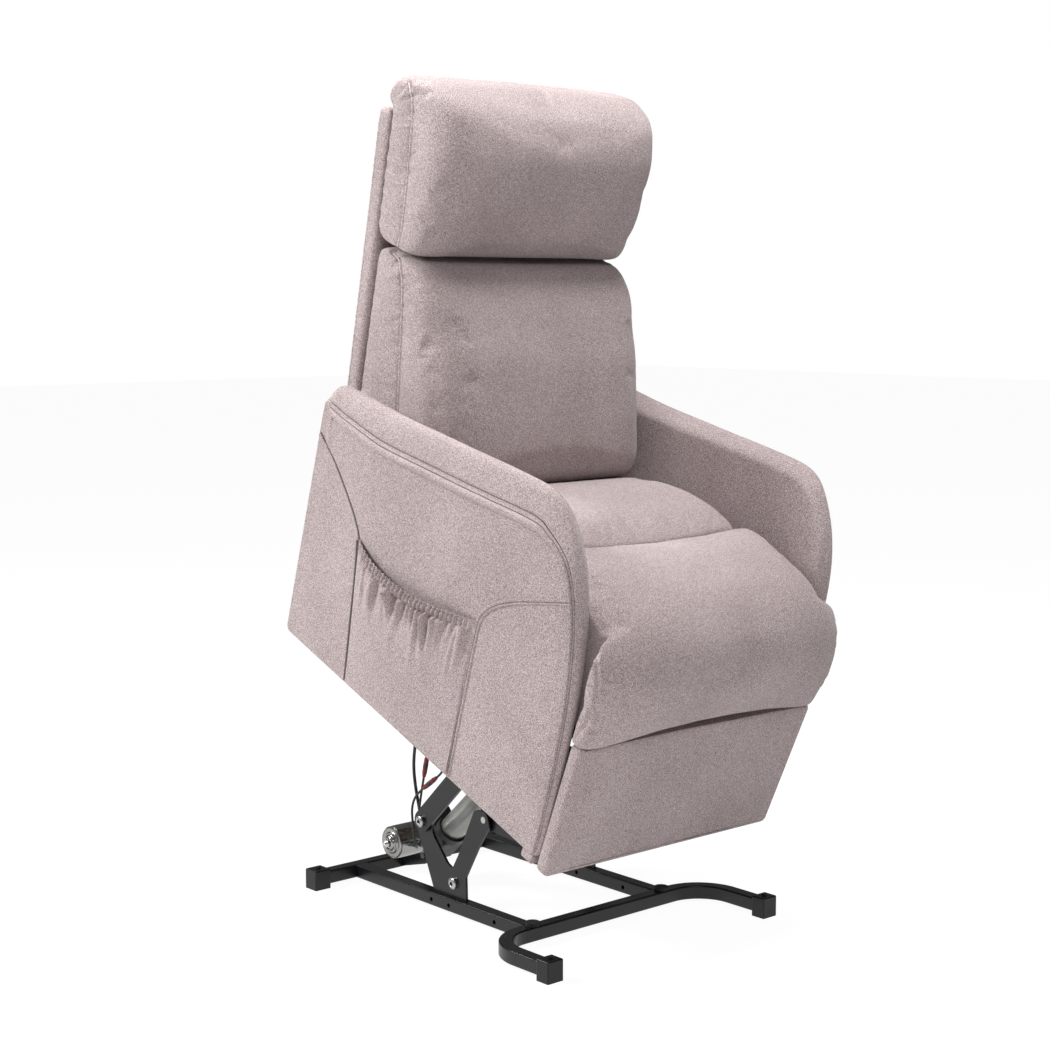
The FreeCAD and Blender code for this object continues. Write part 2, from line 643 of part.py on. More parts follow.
def link_plate(name, x, start, end, width, hole_a, hole_b):
    """Make a flat link with round ends between two pivots."""
    half = width / 2
    along = vec(0, end.y - start.y, end.z - start.z)
    along.normalize()
    across = vec(0, -along.z, along.y)
    corners = [start - along * half - across * half, end + along * half - across * half,
               end + along * half + across * half, start - along * half + across * half]
    points = [(corner.y, corner.z) for corner in corners]
    holes = [(start.y, start.z, hole_a), (end.y, end.z, hole_b)]
    return plate_body(name, points, [half - 0.3] * 4, holes, x, "plate")


def rear_link(name, x):
    return link_plate(name, x, REAR_PIVOT, LINK_HEAD, SIZE["riser_width"], "pivot_pin + pin_fit", "pivot_pin")


def front_link(name, x):
    """Make the broad front link: its lower edge runs level, its upper eye is loose on its pin."""
    hook = chair_point(0, SIZE["hook_f"], SIZE["hook_u"])
    half = SIZE["front_link_width"] / 2
    fy, fz = FRONT_PIVOT.y, FRONT_PIVOT.z
    points = [(fy + half, fz - half), (fy + half, fz + half), (hook.y + half, hook.z + half),
              (hook.y - half, hook.z + half), (hook.y - half, hook.z - half), (fy - 128.0, fz + 28.0),
              (fy - 128.0, fz - half - 12.0)]
    rounds = [half - 1, half + 4, half - 1, half - 1, 20.0, 14.0, 12.0]
    holes = [(fy, fz, "pivot_pin + pin_fit"), (hook.y, hook.z, "pivot_pin + open_eye")]
    return plate_body(name, points, rounds, holes, x, "plate")


def bolts(name, label, y, z, inner, outer, head_in=False):
    """Make a pair of bolts: a shank from inner to outer with a round head outside or inside."""
    pieces = []
    for index, side in enumerate((1, -1)):
        start = inner if side > 0 else -outer
        shank = bar(f"{name}Shank{index}", "pivot_pin", outer - inner, vec(start, y, z))
        head_at = (outer if not head_in else inner - SIZE["bolt_head_thick"])
        head_start = head_at if side > 0 else -head_at - SIZE["bolt_head_thick"]
        head = bar(f"{name}Head{index}", "bolt_head", "bolt_head_thick", vec(head_start, y, z))
        pieces.append(join(f"{name}{index}", [shank, head]))
    return node(group(name, pieces), label)


def linkage():
    """Make risers, links and their bolts."""
    both_sides(riser, "riser_plate", RISER_IN, "plate")
    both_sides(rear_link, "lift_link_rear", REAR_LINK_X, "plate")
    both_sides(front_link, "lift_link_front", FRONT_LINK_X, "plate")
    link_out = REAR_LINK_X + SIZE["plate"]
    bolts("RearPivotBolts", "rear_pivot_bolts", REAR_PIVOT.y, REAR_PIVOT.z, RISER_IN, link_out + 0.3)
    bolts("FrontPivotBolts", "front_pivot_bolts", FRONT_PIVOT.y, FRONT_PIVOT.z, FRONT_LINK_X - 0.3, RISER_OUT,
          head_in=True)
    bolts("RiserBolts", "riser_bolts", SIZE["riser_bolt_y"], SIZE["riser_bolt_z"], RISER_IN, RISER_OUT)


def chair_pivot_pins():
    """Make the pins that carry the chair's lift rails on the rear links."""
    pieces = []
    inner = REAR_LINK_X
    rail_in = SIZE["lift_rail_inner"]
    outer = rail_in + TUBE
    for index, side in enumerate((1, -1)):
        first = inner if side > 0 else -outer - 1.0
        pin = bar(f"ChairPin{index}", "pivot_pin", outer + 1.0 - inner, vec(first, LINK_HEAD.y, LINK_HEAD.z))
        spacer_in = REAR_LINK_X + SIZE["plate"]
        collar_len = rail_in - 0.4 - spacer_in
        collar_at = spacer_in if side > 0 else -spacer_in - collar_len
        start = vec(collar_at, LINK_HEAD.y, LINK_HEAD.z)
        collar = bar(f"ChairPinCollar{index}", "pivot_pin + 4", collar_len, start)
        pieces.append(join(f"ChairPinJoined{index}", [pin, collar]))
    node(group("ChairPins", pieces), "chair_pivot_pins")


# The actuator, in its own frame: -Y runs along it from the rear pivot, Z is square to it.

def actuator():
    """Make the actuator's clevis on the floor frame, gearbox, motor, outer tube, rod and rod end."""
    mid = SIZE["thrust_x"]
    eye_half = SIZE["tail_eye_width"] / 2
    lug = SIZE["lug"]
    inner = SIZE["plate_gap"]
    lugs = []
    bar_top = TUBE_TOP
    for index, x in enumerate((mid - eye_half - inner - lug, mid + eye_half + inner)):
        reach = SIZE["tail_eye"]
        points = [(SIZE["rear_bar_y"], SIZE["tube_lift"] + 2), (SIZE["rear_bar_y"], bar_top + 6),
                  (TAIL.y, TAIL.z + reach), (TAIL.y - reach, TAIL.z + reach),
                  (TAIL.y - reach, TAIL.z - reach)]
        lugs.append(plate_body(f"ClevisLug{index}", points, [0, 8, 8, reach - 1, reach - 1],
                               [(TAIL.y, TAIL.z, "tail_pin")], x, "lug"))
    span = 2 * (eye_half + inner)
    web = add("Part::Box", "ClevisWeb")
    web.Length = span
    bind(web, "Width", "lug")
    bind(web, "Height", "tube - 2 * tube_round")
    web.Placement.Base = vec(mid - span / 2, SIZE["rear_bar_y"] - lug, SIZE["tube_lift"] + SIZE["tube_round"])
    node(join("Clevis", lugs + [web]), "actuator_clevis")
    pin_span = span + 2 * lug + 6
    pin = bar("TailPin", "tail_pin", pin_span, vec(mid - pin_span / 2, TAIL.y, TAIL.z))
    node(pin, "actuator_tail_pin")

    gear_a = SIZE["gear_start"]
    housing = box("GearBlock", ("gear_width", "gear_length", "gear_low + gear_high"),
                  ("-gear_width / 2", "-gear_start - gear_length", "-gear_low"))
    rounded = add("Part::Fillet", "GearRounded")
    rounded.Base = housing
    doc.recompute()
    rounded.Edges = [(index, 6.0, 6.0) for index, _ in enumerate(housing.Shape.Edges, 1)]
    neck = box("TailNeck", ("tail_eye_width", "gear_start + 8", "2 * tail_eye"),
               ("-tail_eye_width / 2", "-gear_start - 8", "-tail_eye"))
    eye = bar("TailEye", "tail_eye", "tail_eye_width", vec(-eye_half, 0, 0))
    bore = bar("TailBore", "tail_pin + pin_fit", "tail_eye_width + 2", vec(-eye_half - 1, 0, 0))
    motor_start = -SIZE["gear_width"] / 2
    motor_at = vec(motor_start, -SIZE["motor_along"], SIZE["motor_off"])
    collar_at = vec(0, -gear_a - SIZE["gear_length"] + 2, 0)
    collar = bar("BarrelCollar", "barrel_radius + 5", "16", collar_at, -Y_AXIS)
    seat = bar("BarrelSeat", "barrel_radius", "20", vec(0, -gear_a - SIZE["gear_length"], 0), -Y_AXIS)
    body = cut("GearBody", join("GearSolid", [rounded, neck, eye, collar]), [bore, seat])
    node(body, "gearbox_housing", THRUST)

    can = bar("MotorCan", "motor_radius", "motor_length", motor_at, -X_AXIS)
    can.Placement = THRUST * can.Placement
    node(join("MotorCanWithGlands", [can] + glands()), "motor_can")
    cap_at = motor_at - vec(SIZE["motor_length"], 0, 0)
    cap = bar("MotorCap", "motor_radius - 1.5", "motor_cap", cap_at, -X_AXIS)
    boss = bar("MotorBoss", "motor_boss_radius", "motor_cap + motor_boss", cap_at, -X_AXIS)
    node(join("MotorEnd", [cap, boss]), "motor_end_cap", THRUST)
    shaft_at = cap_at - vec(SIZE["motor_cap"] + SIZE["motor_boss"], 0, 0)
    stub = bar("MotorStub", "shaft_radius", "shaft_length", shaft_at, -X_AXIS)
    nut = bar("MotorNut", "shaft_radius + 3", "shaft_length / 2", shaft_at, -X_AXIS)
    node(join("MotorShaft", [stub, nut]), "motor_shaft", THRUST)

    barrel_at = vec(0, -gear_a - SIZE["gear_length"], 0)
    barrel = bar("BarrelOuter", "barrel_radius", "barrel_length", barrel_at, -Y_AXIS)
    hollow_length = "barrel_length - gland_length"
    hollow = bar("BarrelHollow", "barrel_radius - barrel_wall", hollow_length, barrel_at, -Y_AXIS)
    bore_gland = bar("BarrelBore", "rod_radius + pin_fit", "barrel_length + 2", barrel_at, -Y_AXIS)
    node(cut("Barrel", barrel, [hollow, bore_gland]), "actuator_barrel", THRUST)

    rod_len = SIZE["thrust_length"] - SIZE["eye_radius"] + 3 - SIZE["rod_back"]
    rod = bar("ThrustRod", "rod_radius", rod_len, vec(0, -SIZE["rod_back"], 0), -Y_AXIS)
    rod_end_at = SIZE["rod_back"] + rod_len
    node(rod, "actuator_rod", THRUST * rod.Placement)
    eye_at = vec(-SIZE["eye_width"] / 2, -SIZE["thrust_length"], 0)
    ring = bar("RodEye", "eye_radius", "eye_width", eye_at)
    ring_hole = bar("RodEyeHole", "eye_hole", "eye_width + 2", eye_at - vec(1, 0, 0))
    recess = bar("RodEyeSeat", "rod_radius", "20", vec(0, -rod_end_at + 20, 0), -Y_AXIS)
    node(cut("RodEnd", ring, [ring_hole, recess]), "rod_end", THRUST)


def motor_axis():
    """Return the world place of the motor's axis."""
    return THRUST.multVec(vec(0, -SIZE["motor_along"], SIZE["motor_off"]))


def glands():
    """Make the three glands at the front of the motor can, where its leads come out."""
    axis = motor_axis()
    pieces = []
    for index, x in enumerate(LEAD_PLACES):
        start = vec(x, axis.y - SIZE["motor_radius"] + 4, axis.z)
        pieces.append(bar(f"MotorGland{index}", "gland_radius", "gland_reach + 4", start, -Y_AXIS))
    return pieces


# The chair's steel and wood, in the chair's frame.

def lift_frame():
    """Make the lift rails, the cross tubes, the front link's brackets and the actuator's yoke."""
    for side in ("l", "r"):
        name = "LiftRail" + side.upper()
        x = "lift_rail_inner" if side == "l" else "-lift_rail_inner - tube"
        made = square_tube(name, "lift_rail_end - lift_rail_start", x, "-lift_rail_end", "0", "y")
        start = val(x) - 1
        drill = bar(name + "Drill", "pivot_pin + pin_fit", "tube + 2", vec(start, -HEAD_F, HEAD_U))
        node(cut(name + "Drilled", made, drill), "lift_rail_" + side, CHAIR)
    end = "board_half"
    for where in ("rear", "front"):
        y = f"-cross_{where}_f - tube"
        made = square_tube("Cross" + where.title(), f"2 * {end}", f"-{end}", y, "tube", "x")
        node(made, "lift_cross_" + where, CHAIR)
    hook_f, hook_u = SIZE["hook_f"], SIZE["hook_u"]
    cross = SIZE["cross_front_f"]
    half = 15.0
    points = forward([(hook_f - half, hook_u - half), (cross, TUBE + 1), (cross, 2 * TUBE - 1),
                      (cross, hook_u + half), (hook_f - half, hook_u + half)])
    gap = SIZE["plate_gap"] / 2
    pieces = []
    for index, side in enumerate((1, -1)):
        far = FRONT_LINK_X - SIZE["plate_gap"]
        x = far - SIZE["plate"] if side > 0 else -far
        plate = plate_body(f"HookPlate{index}", points, [half - 1, 0, 0, 6.0, half - 1], [], x, "plate")
        pin_len = SIZE["plate_gap"] + SIZE["plate"] + gap
        pin_x = far - 1 if side > 0 else -far - pin_len
        pin = bar(f"HookPin{index}", "pivot_pin", pin_len + 1, vec(pin_x, -hook_f, hook_u))
        pieces.append(join(f"Hook{index}", [plate, pin]))
    node(group("Hooks", pieces), "front_link_hooks", CHAIR)
    yoke(cross)


def yoke(cross):
    """Make the two yoke plates that the actuator's rod end pushes, with their pin."""
    half = SIZE["yoke_width"] / 2
    mid = SIZE["thrust_x"]
    apart = SIZE["eye_width"] / 2 + SIZE["yoke_gap"]
    points = forward([(YOKE_F - half, YOKE_U - half), (YOKE_F + half, YOKE_U - half), (cross, TUBE + 1),
                      (cross, 2 * TUBE - 1), (YOKE_F - half, YOKE_U + half)])
    plates = []
    for index, x in enumerate((mid - apart - SIZE["plate"], mid + apart)):
        plates.append(plate_body(f"YokePlate{index}", points, [half - 1, 10, 0, 0, half - 1], [], x, "plate"))
    span = 2 * (apart + SIZE["plate"]) + 4
    pin = bar("YokePin", "pivot_pin", span, vec(mid - span / 2, -YOKE_F, YOKE_U))
    node(join("Yoke", plates + [pin]), "actuator_yoke", CHAIR)


def wood():
    """Make the rear board and the seat frame of side rails and front beam."""
    rear = placed_box("RearBoard", ("2 * board_half", "board", "board_top - tube"),
                      ("0 - board_half", "0 - board - 2", "tube"), CHAIR)
    node(rear, "rear_board")
    height = "seat_rail_high - seat_rail_low"
    pieces = []
    for index, x in enumerate(("seat_frame_half - seat_rail_width", "-seat_frame_half")):
        pieces.append(box(f"SeatRail{index}", ("seat_rail_width", "seat_rail_end - board - 2", height),
                          (x, "-seat_rail_end", "seat_rail_low")))
    beam = box("SeatBeam", ("2 * seat_frame_half", "seat_beam", height),
               ("-seat_frame_half", "-seat_beam_f - seat_beam", "seat_rail_low"))
    node(join("SeatFrame", pieces + [beam]), "seat_frame", CHAIR)


# The upholstered pieces.

def prism(name, shape, placement, along, length):
    """Extrude a closed outline along a direction, over a length in millimetres or a formula."""
    made = add("Part::Extrusion", name)
    made.Base = sketch(name + "Outline", outline(shape), placement)
    made.DirMode = "Custom"
    made.Dir = along
    made.Solid = True
    bind(made, "LengthFwd", length)
    return made


def arm():
    """Make the left arm as the common part of its side outline, its inner face and its turned outer face."""
    length, top, rear, drop = SIZE["arm_length"], SIZE["arm_front"], SIZE["arm_rear"], SIZE["panel_drop"]
    side = forward([
        (0, 0), (length, -drop), (length, 0.495 * top), (length - 17, 0.681 * top),
        (length - 46, 0.827 * top), (length - 73, 0.905 * top), (length - 107, 0.959 * top),
        (length - 149, 0.987 * top),
        (length - 200, top), (length - 258, 0.995 * top), (length - 366, 0.973 * top),
        (length - 496, 0.9445 * top), (length - 572, rear + 17), (length - 668, rear + 6), (0, rear)])
    rounds = [6, 14, 60, 40, 40, 40, 60, 80, 80, 80, 0, 0, 0, 0, 12]
    block = side_solid("ArmSide", side, "panel_half - arm_foot - 40", "arm_foot + 140", rounds)
    lean_out = math.tan(math.radians(SIZE["panel_lean"]))
    lean_in = math.tan(math.radians(SIZE["arm_lean"]))
    toe = math.tan(math.radians(SIZE["panel_toe"]))
    low, high, past = -drop - 20, top + 30, 10
    foot, inner = SIZE["panel_half"], SIZE["arm_inner"]
    beyond, within = foot + 120, inner - 60
    behind = FreeCAD.Rotation(X_AXIS, 90)
    inside = prism("ArmInside", [(inner + low * lean_in, low), (beyond, low), (beyond, high),
                                 (inner + high * lean_in, high)],
                   FreeCAD.Placement(vec(0, -length - past, 0), behind), Y_AXIS, "arm_length + 20")
    foot = foot - (length + past) * toe
    outside = prism("ArmOutside", [(within, low), (foot + low * lean_out, low),
                                   (foot + high * lean_out, high), (within, high)],
                    FreeCAD.Placement(vec(0, -length - past, 0), behind), vec(toe, 1, 0), "arm_length + 24")
    common = add("Part::MultiCommon", "ArmSolid")
    common.Shapes = [block, inside, outside]
    left = node(common, "arm_l", CHAIR)
    right = add("Part::Mirroring", "ArmSolidR")
    right.Source = left
    right.Normal = X_AXIS
    node(right, "arm_r")


def seat():
    """Make the seat cushion and the wide front roll."""
    low, top = SIZE["seat_rail_high"], SIZE["seat_top"]
    split, gap = SIZE["seat_split_f"], SIZE["soft_gap"]
    back = SIZE["board"] + 2 + gap
    behind = SIZE["lumbar_low"] - 10
    points = forward([(back, low), (split, low), (split, top), (430, top + 6), (300, top - 6),
                      (SIZE["lumbar_depth"] - 24, behind), (back, behind - 4)])
    made = side_solid("SeatCushion", points, "-seat_half", "2 * seat_half", [0, 0, 12, 0, 30, 0, 10])
    node(made, "seat_cushion", CHAIR)
    front, roll_low = SIZE["roll_front"], SIZE["roll_low"]
    rear = split + gap
    frame = SIZE["seat_rail_end"] + gap
    points = forward([(rear, low), (frame, low), (frame, roll_low), (front - 56, roll_low - 2),
                      (front - 14, roll_low + 26), (front, roll_low + 84), (front - 14, roll_low + 142),
                      (front - 54, roll_low + 190), (front - 112, roll_low + 220), (rear, top)])
    rounds = [0, 0, 0, 14, 24, 50, 50, 60, 60, 12]
    profile = side_solid("RollSide", points, "-roll_half", "2 * roll_half", rounds)
    half, wide = SIZE["seat_half"] - 2, SIZE["roll_half"]
    neck, ends = -SIZE["arm_length"] - SIZE["roll_step"], -front - 5
    plan = [(-half, -rear + 5), (half, -rear + 5), (half, neck), (wide - 10, neck), (wide, neck - 10),
            (wide, ends), (-wide, ends), (-wide, neck - 10), (10 - wide, neck), (-half, neck)]
    ground = FreeCAD.Placement(vec(0, 0, 100), FreeCAD.Rotation())
    body = prism("RollPlan", plan, ground, Z_AXIS, "seat_top + 100")
    common = add("Part::MultiCommon", "SeatRoll")
    common.Shapes = [profile, body]
    node(common, "seat_roll", CHAIR)


def shell_line(up):
    """Return how far forward the back shell's rear face is at a height."""
    low, slope = SIZE["shell_low"], 120.0 / 637.0
    return -31.0 - (up - low) * slope


def back():
    """Make the back shell, the lumbar cushion, the head cushion and the recline pins."""
    low, high, thick = SIZE["shell_low"], SIZE["shell_high"], SIZE["shell"]
    points = forward([(shell_line(low), low), (shell_line(low) + thick, low),
                      (shell_line(high) + thick, high), (shell_line(high), high)])
    shell = side_solid("BackShell", points, "-shell_half", "2 * shell_half", [6, 6, 14, 18])
    drill = bar("ShellDrill", "recline_pin + pin_fit", "2 * shell_half + 4",
                vec(-SIZE["shell_half"] - 2, -SIZE["recline_f"], SIZE["recline_u"]))
    node(cut("BackShellDrilled", shell, drill), "back_shell", CHAIR)
    gap = SIZE["soft_gap"]

    def on_shell(up):
        return shell_line(up) + thick + gap, up

    low, high, deep = SIZE["lumbar_low"], SIZE["lumbar_high"], SIZE["lumbar_depth"]
    rise = high - low
    full = forward([on_shell(low + 6), (deep - 22, low), (deep, low + 0.10 * rise),
                    (deep - 34, low + 0.34 * rise), (deep - 86, low + 0.66 * rise),
                    (deep - 142, low + 0.90 * rise), (deep - 204, high), on_shell(high - 4)])
    edge = forward([on_shell(low + 30), (104, low + 30), (98, low + 0.18 * rise),
                    (78, low + 0.34 * rise), (44, low + 0.64 * rise), (18, low + 0.88 * rise),
                    (4, high - 14), on_shell(high - 14)])
    node(cushion("LumbarCushion", SIZE["lumbar_half"], full, edge), "lumbar_cushion", CHAIR)
    low, high, deep = SIZE["head_low"], SIZE["head_high"], SIZE["head_depth"]
    rise = high - low
    top = SIZE["shell_high"]
    full = forward([on_shell(low + 2), (deep - 56, low + 4), (deep - 8, low + 0.10 * rise),
                    (deep, low + 0.35 * rise), (deep - 8, low + 0.68 * rise), (deep - 42, low + 0.92 * rise),
                    (deep - 110, high), (-134, high - 16), (-152, high - 50),
                    (on_shell(top + 6)[0] - thick, top + 6), (on_shell(top + 6)[0], top + 5)])
    edge = forward([on_shell(low + 14), (-12, low + 14), (-18, low + 0.12 * rise),
                    (-32, low + 0.36 * rise), (-52, low + 0.66 * rise), (-74, low + 0.88 * rise),
                    (-88, high - 22), (-118, high - 30), (-134, high - 44),
                    (on_shell(top + 12)[0] - 0.7 * thick, top + 12), (on_shell(top + 12)[0], top + 11)])
    node(cushion("HeadCushion", SIZE["head_half"], full, edge), "head_cushion", CHAIR)
    pieces = []
    for index, side in enumerate((1, -1)):
        inner = SIZE["shell_half"] - 30
        outer = SIZE["recline_half"]
        start = inner if side > 0 else -outer
        place = vec(start, -SIZE["recline_f"], SIZE["recline_u"])
        pin = bar(f"ReclinePin{index}", "recline_pin", outer - inner, place)
        pieces.append(pin)
    plates = []
    for index, side in enumerate((1, -1)):
        near = SIZE["recline_half"] - SIZE["plate"]
        x = near if side > 0 else -SIZE["recline_half"]
        points = forward([(SIZE["recline_f"] - 13, SIZE["recline_u"] - 13),
                          (90, SIZE["recline_u"] - SIZE["recline_drop"]), (90, SIZE["recline_u"] - 20),
                          (SIZE["recline_f"] + 4, SIZE["recline_u"] + 13),
                          (SIZE["recline_f"] - 13, SIZE["recline_u"] + 13)])
        plates.append(plate_body(f"ReclinePlate{index}", points, [11, 6, 6, 8, 11], [], x, "plate"))
    joined = [join(f"ReclineHinge{index}", [pieces[index], plates[index]]) for index in (0, 1)]
    node(group("ReclineHinges", joined), "recline_hinges", CHAIR)


# The footrest and its linkage.

def leg_points():
    """Return the stowed linkage's fixed pivot, knee and footrest pivot as (forward, up)."""
    root = (SIZE["leg_root_f"], SIZE["leg_root_u"])
    half = SIZE["leg_reach"] / 2
    drop = math.sqrt(SIZE["leg_link"] ** 2 - half ** 2)
    knee = (root[0] + half, root[1] - drop)
    tip = (root[0] + 2 * half, root[1])
    return root, knee, tip


def leg_bar(name, x, start, end):
    """Make one footrest link with round ends and two holes."""
    first, last = vec(0, -start[0], start[1]), vec(0, -end[0], end[1])
    half = SIZE["leg_width"] / 2
    along = last - first
    along.normalize()
    across = vec(0, -along.z, along.y)
    corners = [first - along * half - across * half, last + along * half - across * half,
               last + along * half + across * half, first - along * half + across * half]
    points = [(corner.y, corner.z) for corner in corners]
    holes = [(first.y, first.z, "leg_pin + pin_fit"), (last.y, last.z, "leg_pin + pin_fit")]
    return plate_body(name, points, [half - 0.3] * 4, holes, x, "leg_plate")


def leg_pins(name, label, place, inner, outer, placement=CHAIR):
    """Make a pair of pins across the linkage at one pivot."""
    pieces = []
    for index, side in enumerate((1, -1)):
        start = inner if side > 0 else -outer
        pin = bar(f"{name}{index}", "leg_pin", outer - inner, vec(start, -place[0], place[1]))
        pieces.append(pin)
    return node(group(name, pieces), label, placement)


def footrest():
    """Make the footrest panel, its lugs and the two pairs of links that carry it."""
    root, knee, tip = leg_points()
    thick, gap = SIZE["leg_plate"], SIZE["leg_gap"]
    arm_x = SIZE["leg_x"] + thick + gap
    link_x = SIZE["leg_x"]
    for side in ("l", "r"):
        sign = 1 if side == "l" else -1
        x = arm_x if sign > 0 else -arm_x - thick
        shift = FreeCAD.Placement(vec(x, 0, 0), FreeCAD.Rotation())
        node(leg_bar("LegArm" + side.upper(), x, root, knee), "legrest_arm_" + side, CHAIR * shift)
        x = link_x if sign > 0 else -link_x - thick
        shift = FreeCAD.Placement(vec(x, 0, 0), FreeCAD.Rotation())
        node(leg_bar("LegLink" + side.upper(), x, knee, tip), "legrest_link_" + side, CHAIR * shift)
    tie_f = root[0] + 0.60 * (knee[0] - root[0])
    tie_u = root[1] + 0.60 * (knee[1] - root[1])
    tie_half = arm_x
    tie = bar("LegTie", "leg_pin + 2", 2 * tie_half, vec(-tie_half, -tie_f, tie_u))
    node(tie, "legrest_tie", CHAIR * tie.Placement)
    leg_pins("KneePins", "legrest_knee_pins", knee, link_x - 1.0, arm_x + thick + 1.0)
    bracket_in = arm_x + thick + gap
    pieces = []
    for index, sign in enumerate((1, -1)):
        x = bracket_in if sign > 0 else -bracket_in - thick
        low = SIZE["seat_rail_low"]
        points = forward([(root[0] - 18, low), (root[0] - 12, root[1] - 10), (root[0] + 12, root[1] - 10),
                          (root[0] + 18, low)])
        plate = plate_body(f"LegBracket{index}", points, [0, 8, 8, 0], [], x, "leg_plate")
        start = arm_x - 1.0 if sign > 0 else -bracket_in - thick
        reach = bracket_in + thick - (arm_x - 1.0)
        pin = bar(f"RootPin{index}", "leg_pin", reach, vec(start, -root[0], root[1]))
        pieces.append(join(f"LegRoot{index}", [plate, pin]))
    node(group("LegRoots", pieces), "legrest_brackets", CHAIR)

    front, depth = SIZE["rest_front"], SIZE["rest_thick"]
    panel = box("RestPanel", ("2 * rest_half", "rest_thick", "rest_high - rest_low"),
                ("-rest_half", "-rest_front", "rest_low"))
    rounded = add("Part::Fillet", "RestRounded")
    rounded.Base = panel
    doc.recompute()
    radius = SIZE["rest_round"]
    chosen = []
    for index, edge in enumerate(panel.Shape.Edges, 1):
        runs_back = abs(edge.tangentAt(edge.FirstParameter).y) > 0.9
        if edge.CenterOfMass.y < -front + 0.01 or runs_back:
            chosen.append((index, radius, radius))
    rounded.Edges = chosen
    node(rounded, "footrest_panel", CHAIR)
    back_face = front - depth
    pieces = []
    lug_in = link_x - gap - thick
    for index, sign in enumerate((1, -1)):
        x = lug_in if sign > 0 else -lug_in - thick
        points = forward([(tip[0] - 10, tip[1] - 10), (back_face, tip[1] - 40), (back_face, tip[1]),
                          (tip[0] + 12, tip[1] + 10), (tip[0] - 10, tip[1] + 10)])
        plate = plate_body(f"RestLug{index}", points, [9, 0, 0, 6, 9], [], x, "leg_plate")
        start = lug_in if sign > 0 else -link_x - thick - 1.0
        pin = bar(f"TipPin{index}", "leg_pin", link_x + thick + 1.0 - lug_in, vec(start, -tip[0], tip[1]))
        pieces.append(join(f"RestLugJoined{index}", [plate, pin]))
    node(group("RestLugs", pieces), "footrest_lugs", CHAIR)


# The side pocket, drawn on the right panel's leaning and turned face.

def pocket():
    """Make the side pocket: a skin that stands off the panel, sewn at its sides and bottom."""
    hem, gap = SIZE["pocket_hem"], SIZE["soft_gap"]
    turn = FreeCAD.Rotation(Z_AXIS, SIZE["panel_toe"]) * FreeCAD.Rotation(Y_AXIS, -SIZE["panel_lean"])
    face = CHAIR * FreeCAD.Placement(vec(-SIZE["panel_half"], 0, 0), turn)
    start, end = (195, 2), (489, -3)
    outer = forward([start, end, (482, 297), (389, 272), (311, 259), (238, 263), (164, 279)])
    inner = forward([(start[0] + hem + 1, start[1] + hem), (end[0] - hem - 1, end[1] + hem), (482 - hem, 325),
                     (164 + hem, 325)])
    block = side_solid("PocketBlock", outer, "0 - pocket_mouth - pocket_skin", "pocket_mouth + pocket_skin",
                       [10, 10, 0, 40, 40, 40, 0])
    hollow = side_solid("PocketHollow", inner, "0 - pocket_mouth", "pocket_mouth + 1", [12, 12, 0, 0])
    stand = FreeCAD.Placement(vec(-gap, 0, 0), FreeCAD.Rotation())
    node(cut("Pocket", block, hollow), "side_pocket", face * stand)


# The leads and connectors under the seat.

def tube_path(points):
    """Return a wire of straight runs joined by tangent arcs, and the least radius in it."""
    edges = []
    least = 1e9
    start = points[0]
    for index in range(1, len(points) - 1):
        here = points[index]
        before, after = points[index - 1] - here, points[index + 1] - here
        half = before.getAngle(after) / 2
        step = 0.45 * min(before.Length, after.Length)
        radius = step * math.tan(half)
        least = min(least, radius)
        before.normalize()
        after.normalize()
        first, last = here + before * step, here + after * step
        middle = before + after
        middle.normalize()
        mid = here + middle * (radius / math.sin(half) - radius)
        edges.append(Part.LineSegment(start, first).toShape())
        edges.append(Part.Arc(first, mid, last).toShape())
        start = last
    edges.append(Part.LineSegment(start, points[-1]).toShape())
    return Part.Wire(edges), least


def lead(name, routes, radius):
    """Sweep a lead along its routes, and report each length, least radius and volume."""
    tubes = []
    for route in routes:
        points = [vec(*place) for place in route]
        path, least = tube_path(points)
        ring = Part.Wire([Part.Circle(points[0], points[1] - points[0], radius).toShape()])
        tube = path.makePipeShell([ring], True, False)
        share = tube.Volume / (math.pi * radius ** 2 * path.Length)
        print(f"{name}: length {path.Length:.0f}, least radius {least:.0f}, volume share {share:.4f}")
        tubes.append(tube)
    made = add("Part::Feature", name)
    made.Shape = tubes[0] if len(tubes) == 1 else Part.makeCompound(tubes)
    return made


# Routes of the leads as world points, from the motor's glands upwards.
MOTOR_FRONT = motor_axis() - vec(0, SIZE["motor_radius"] + SIZE["gland_reach"], 0)
BOX_UNDER = SIZE["seat_rail_low"] - SIZE["box_height"]


def gland_exit(number):
    """Return the first two points of a lead that leaves one of the motor's glands."""
    x = LEAD_PLACES[number]
    return [(x, MOTOR_FRONT.y, MOTOR_FRONT.z), (x, MOTOR_FRONT.y - 15, MOTOR_FRONT.z)]


def box_entry(x, forward_by):
    """Return the last two points of a lead that enters the control box from below."""
    end = chair_point(x, forward_by, BOX_UNDER)
    before = chair_point(x, forward_by, BOX_UNDER - 25)
    return [tuple(before), tuple(end)]


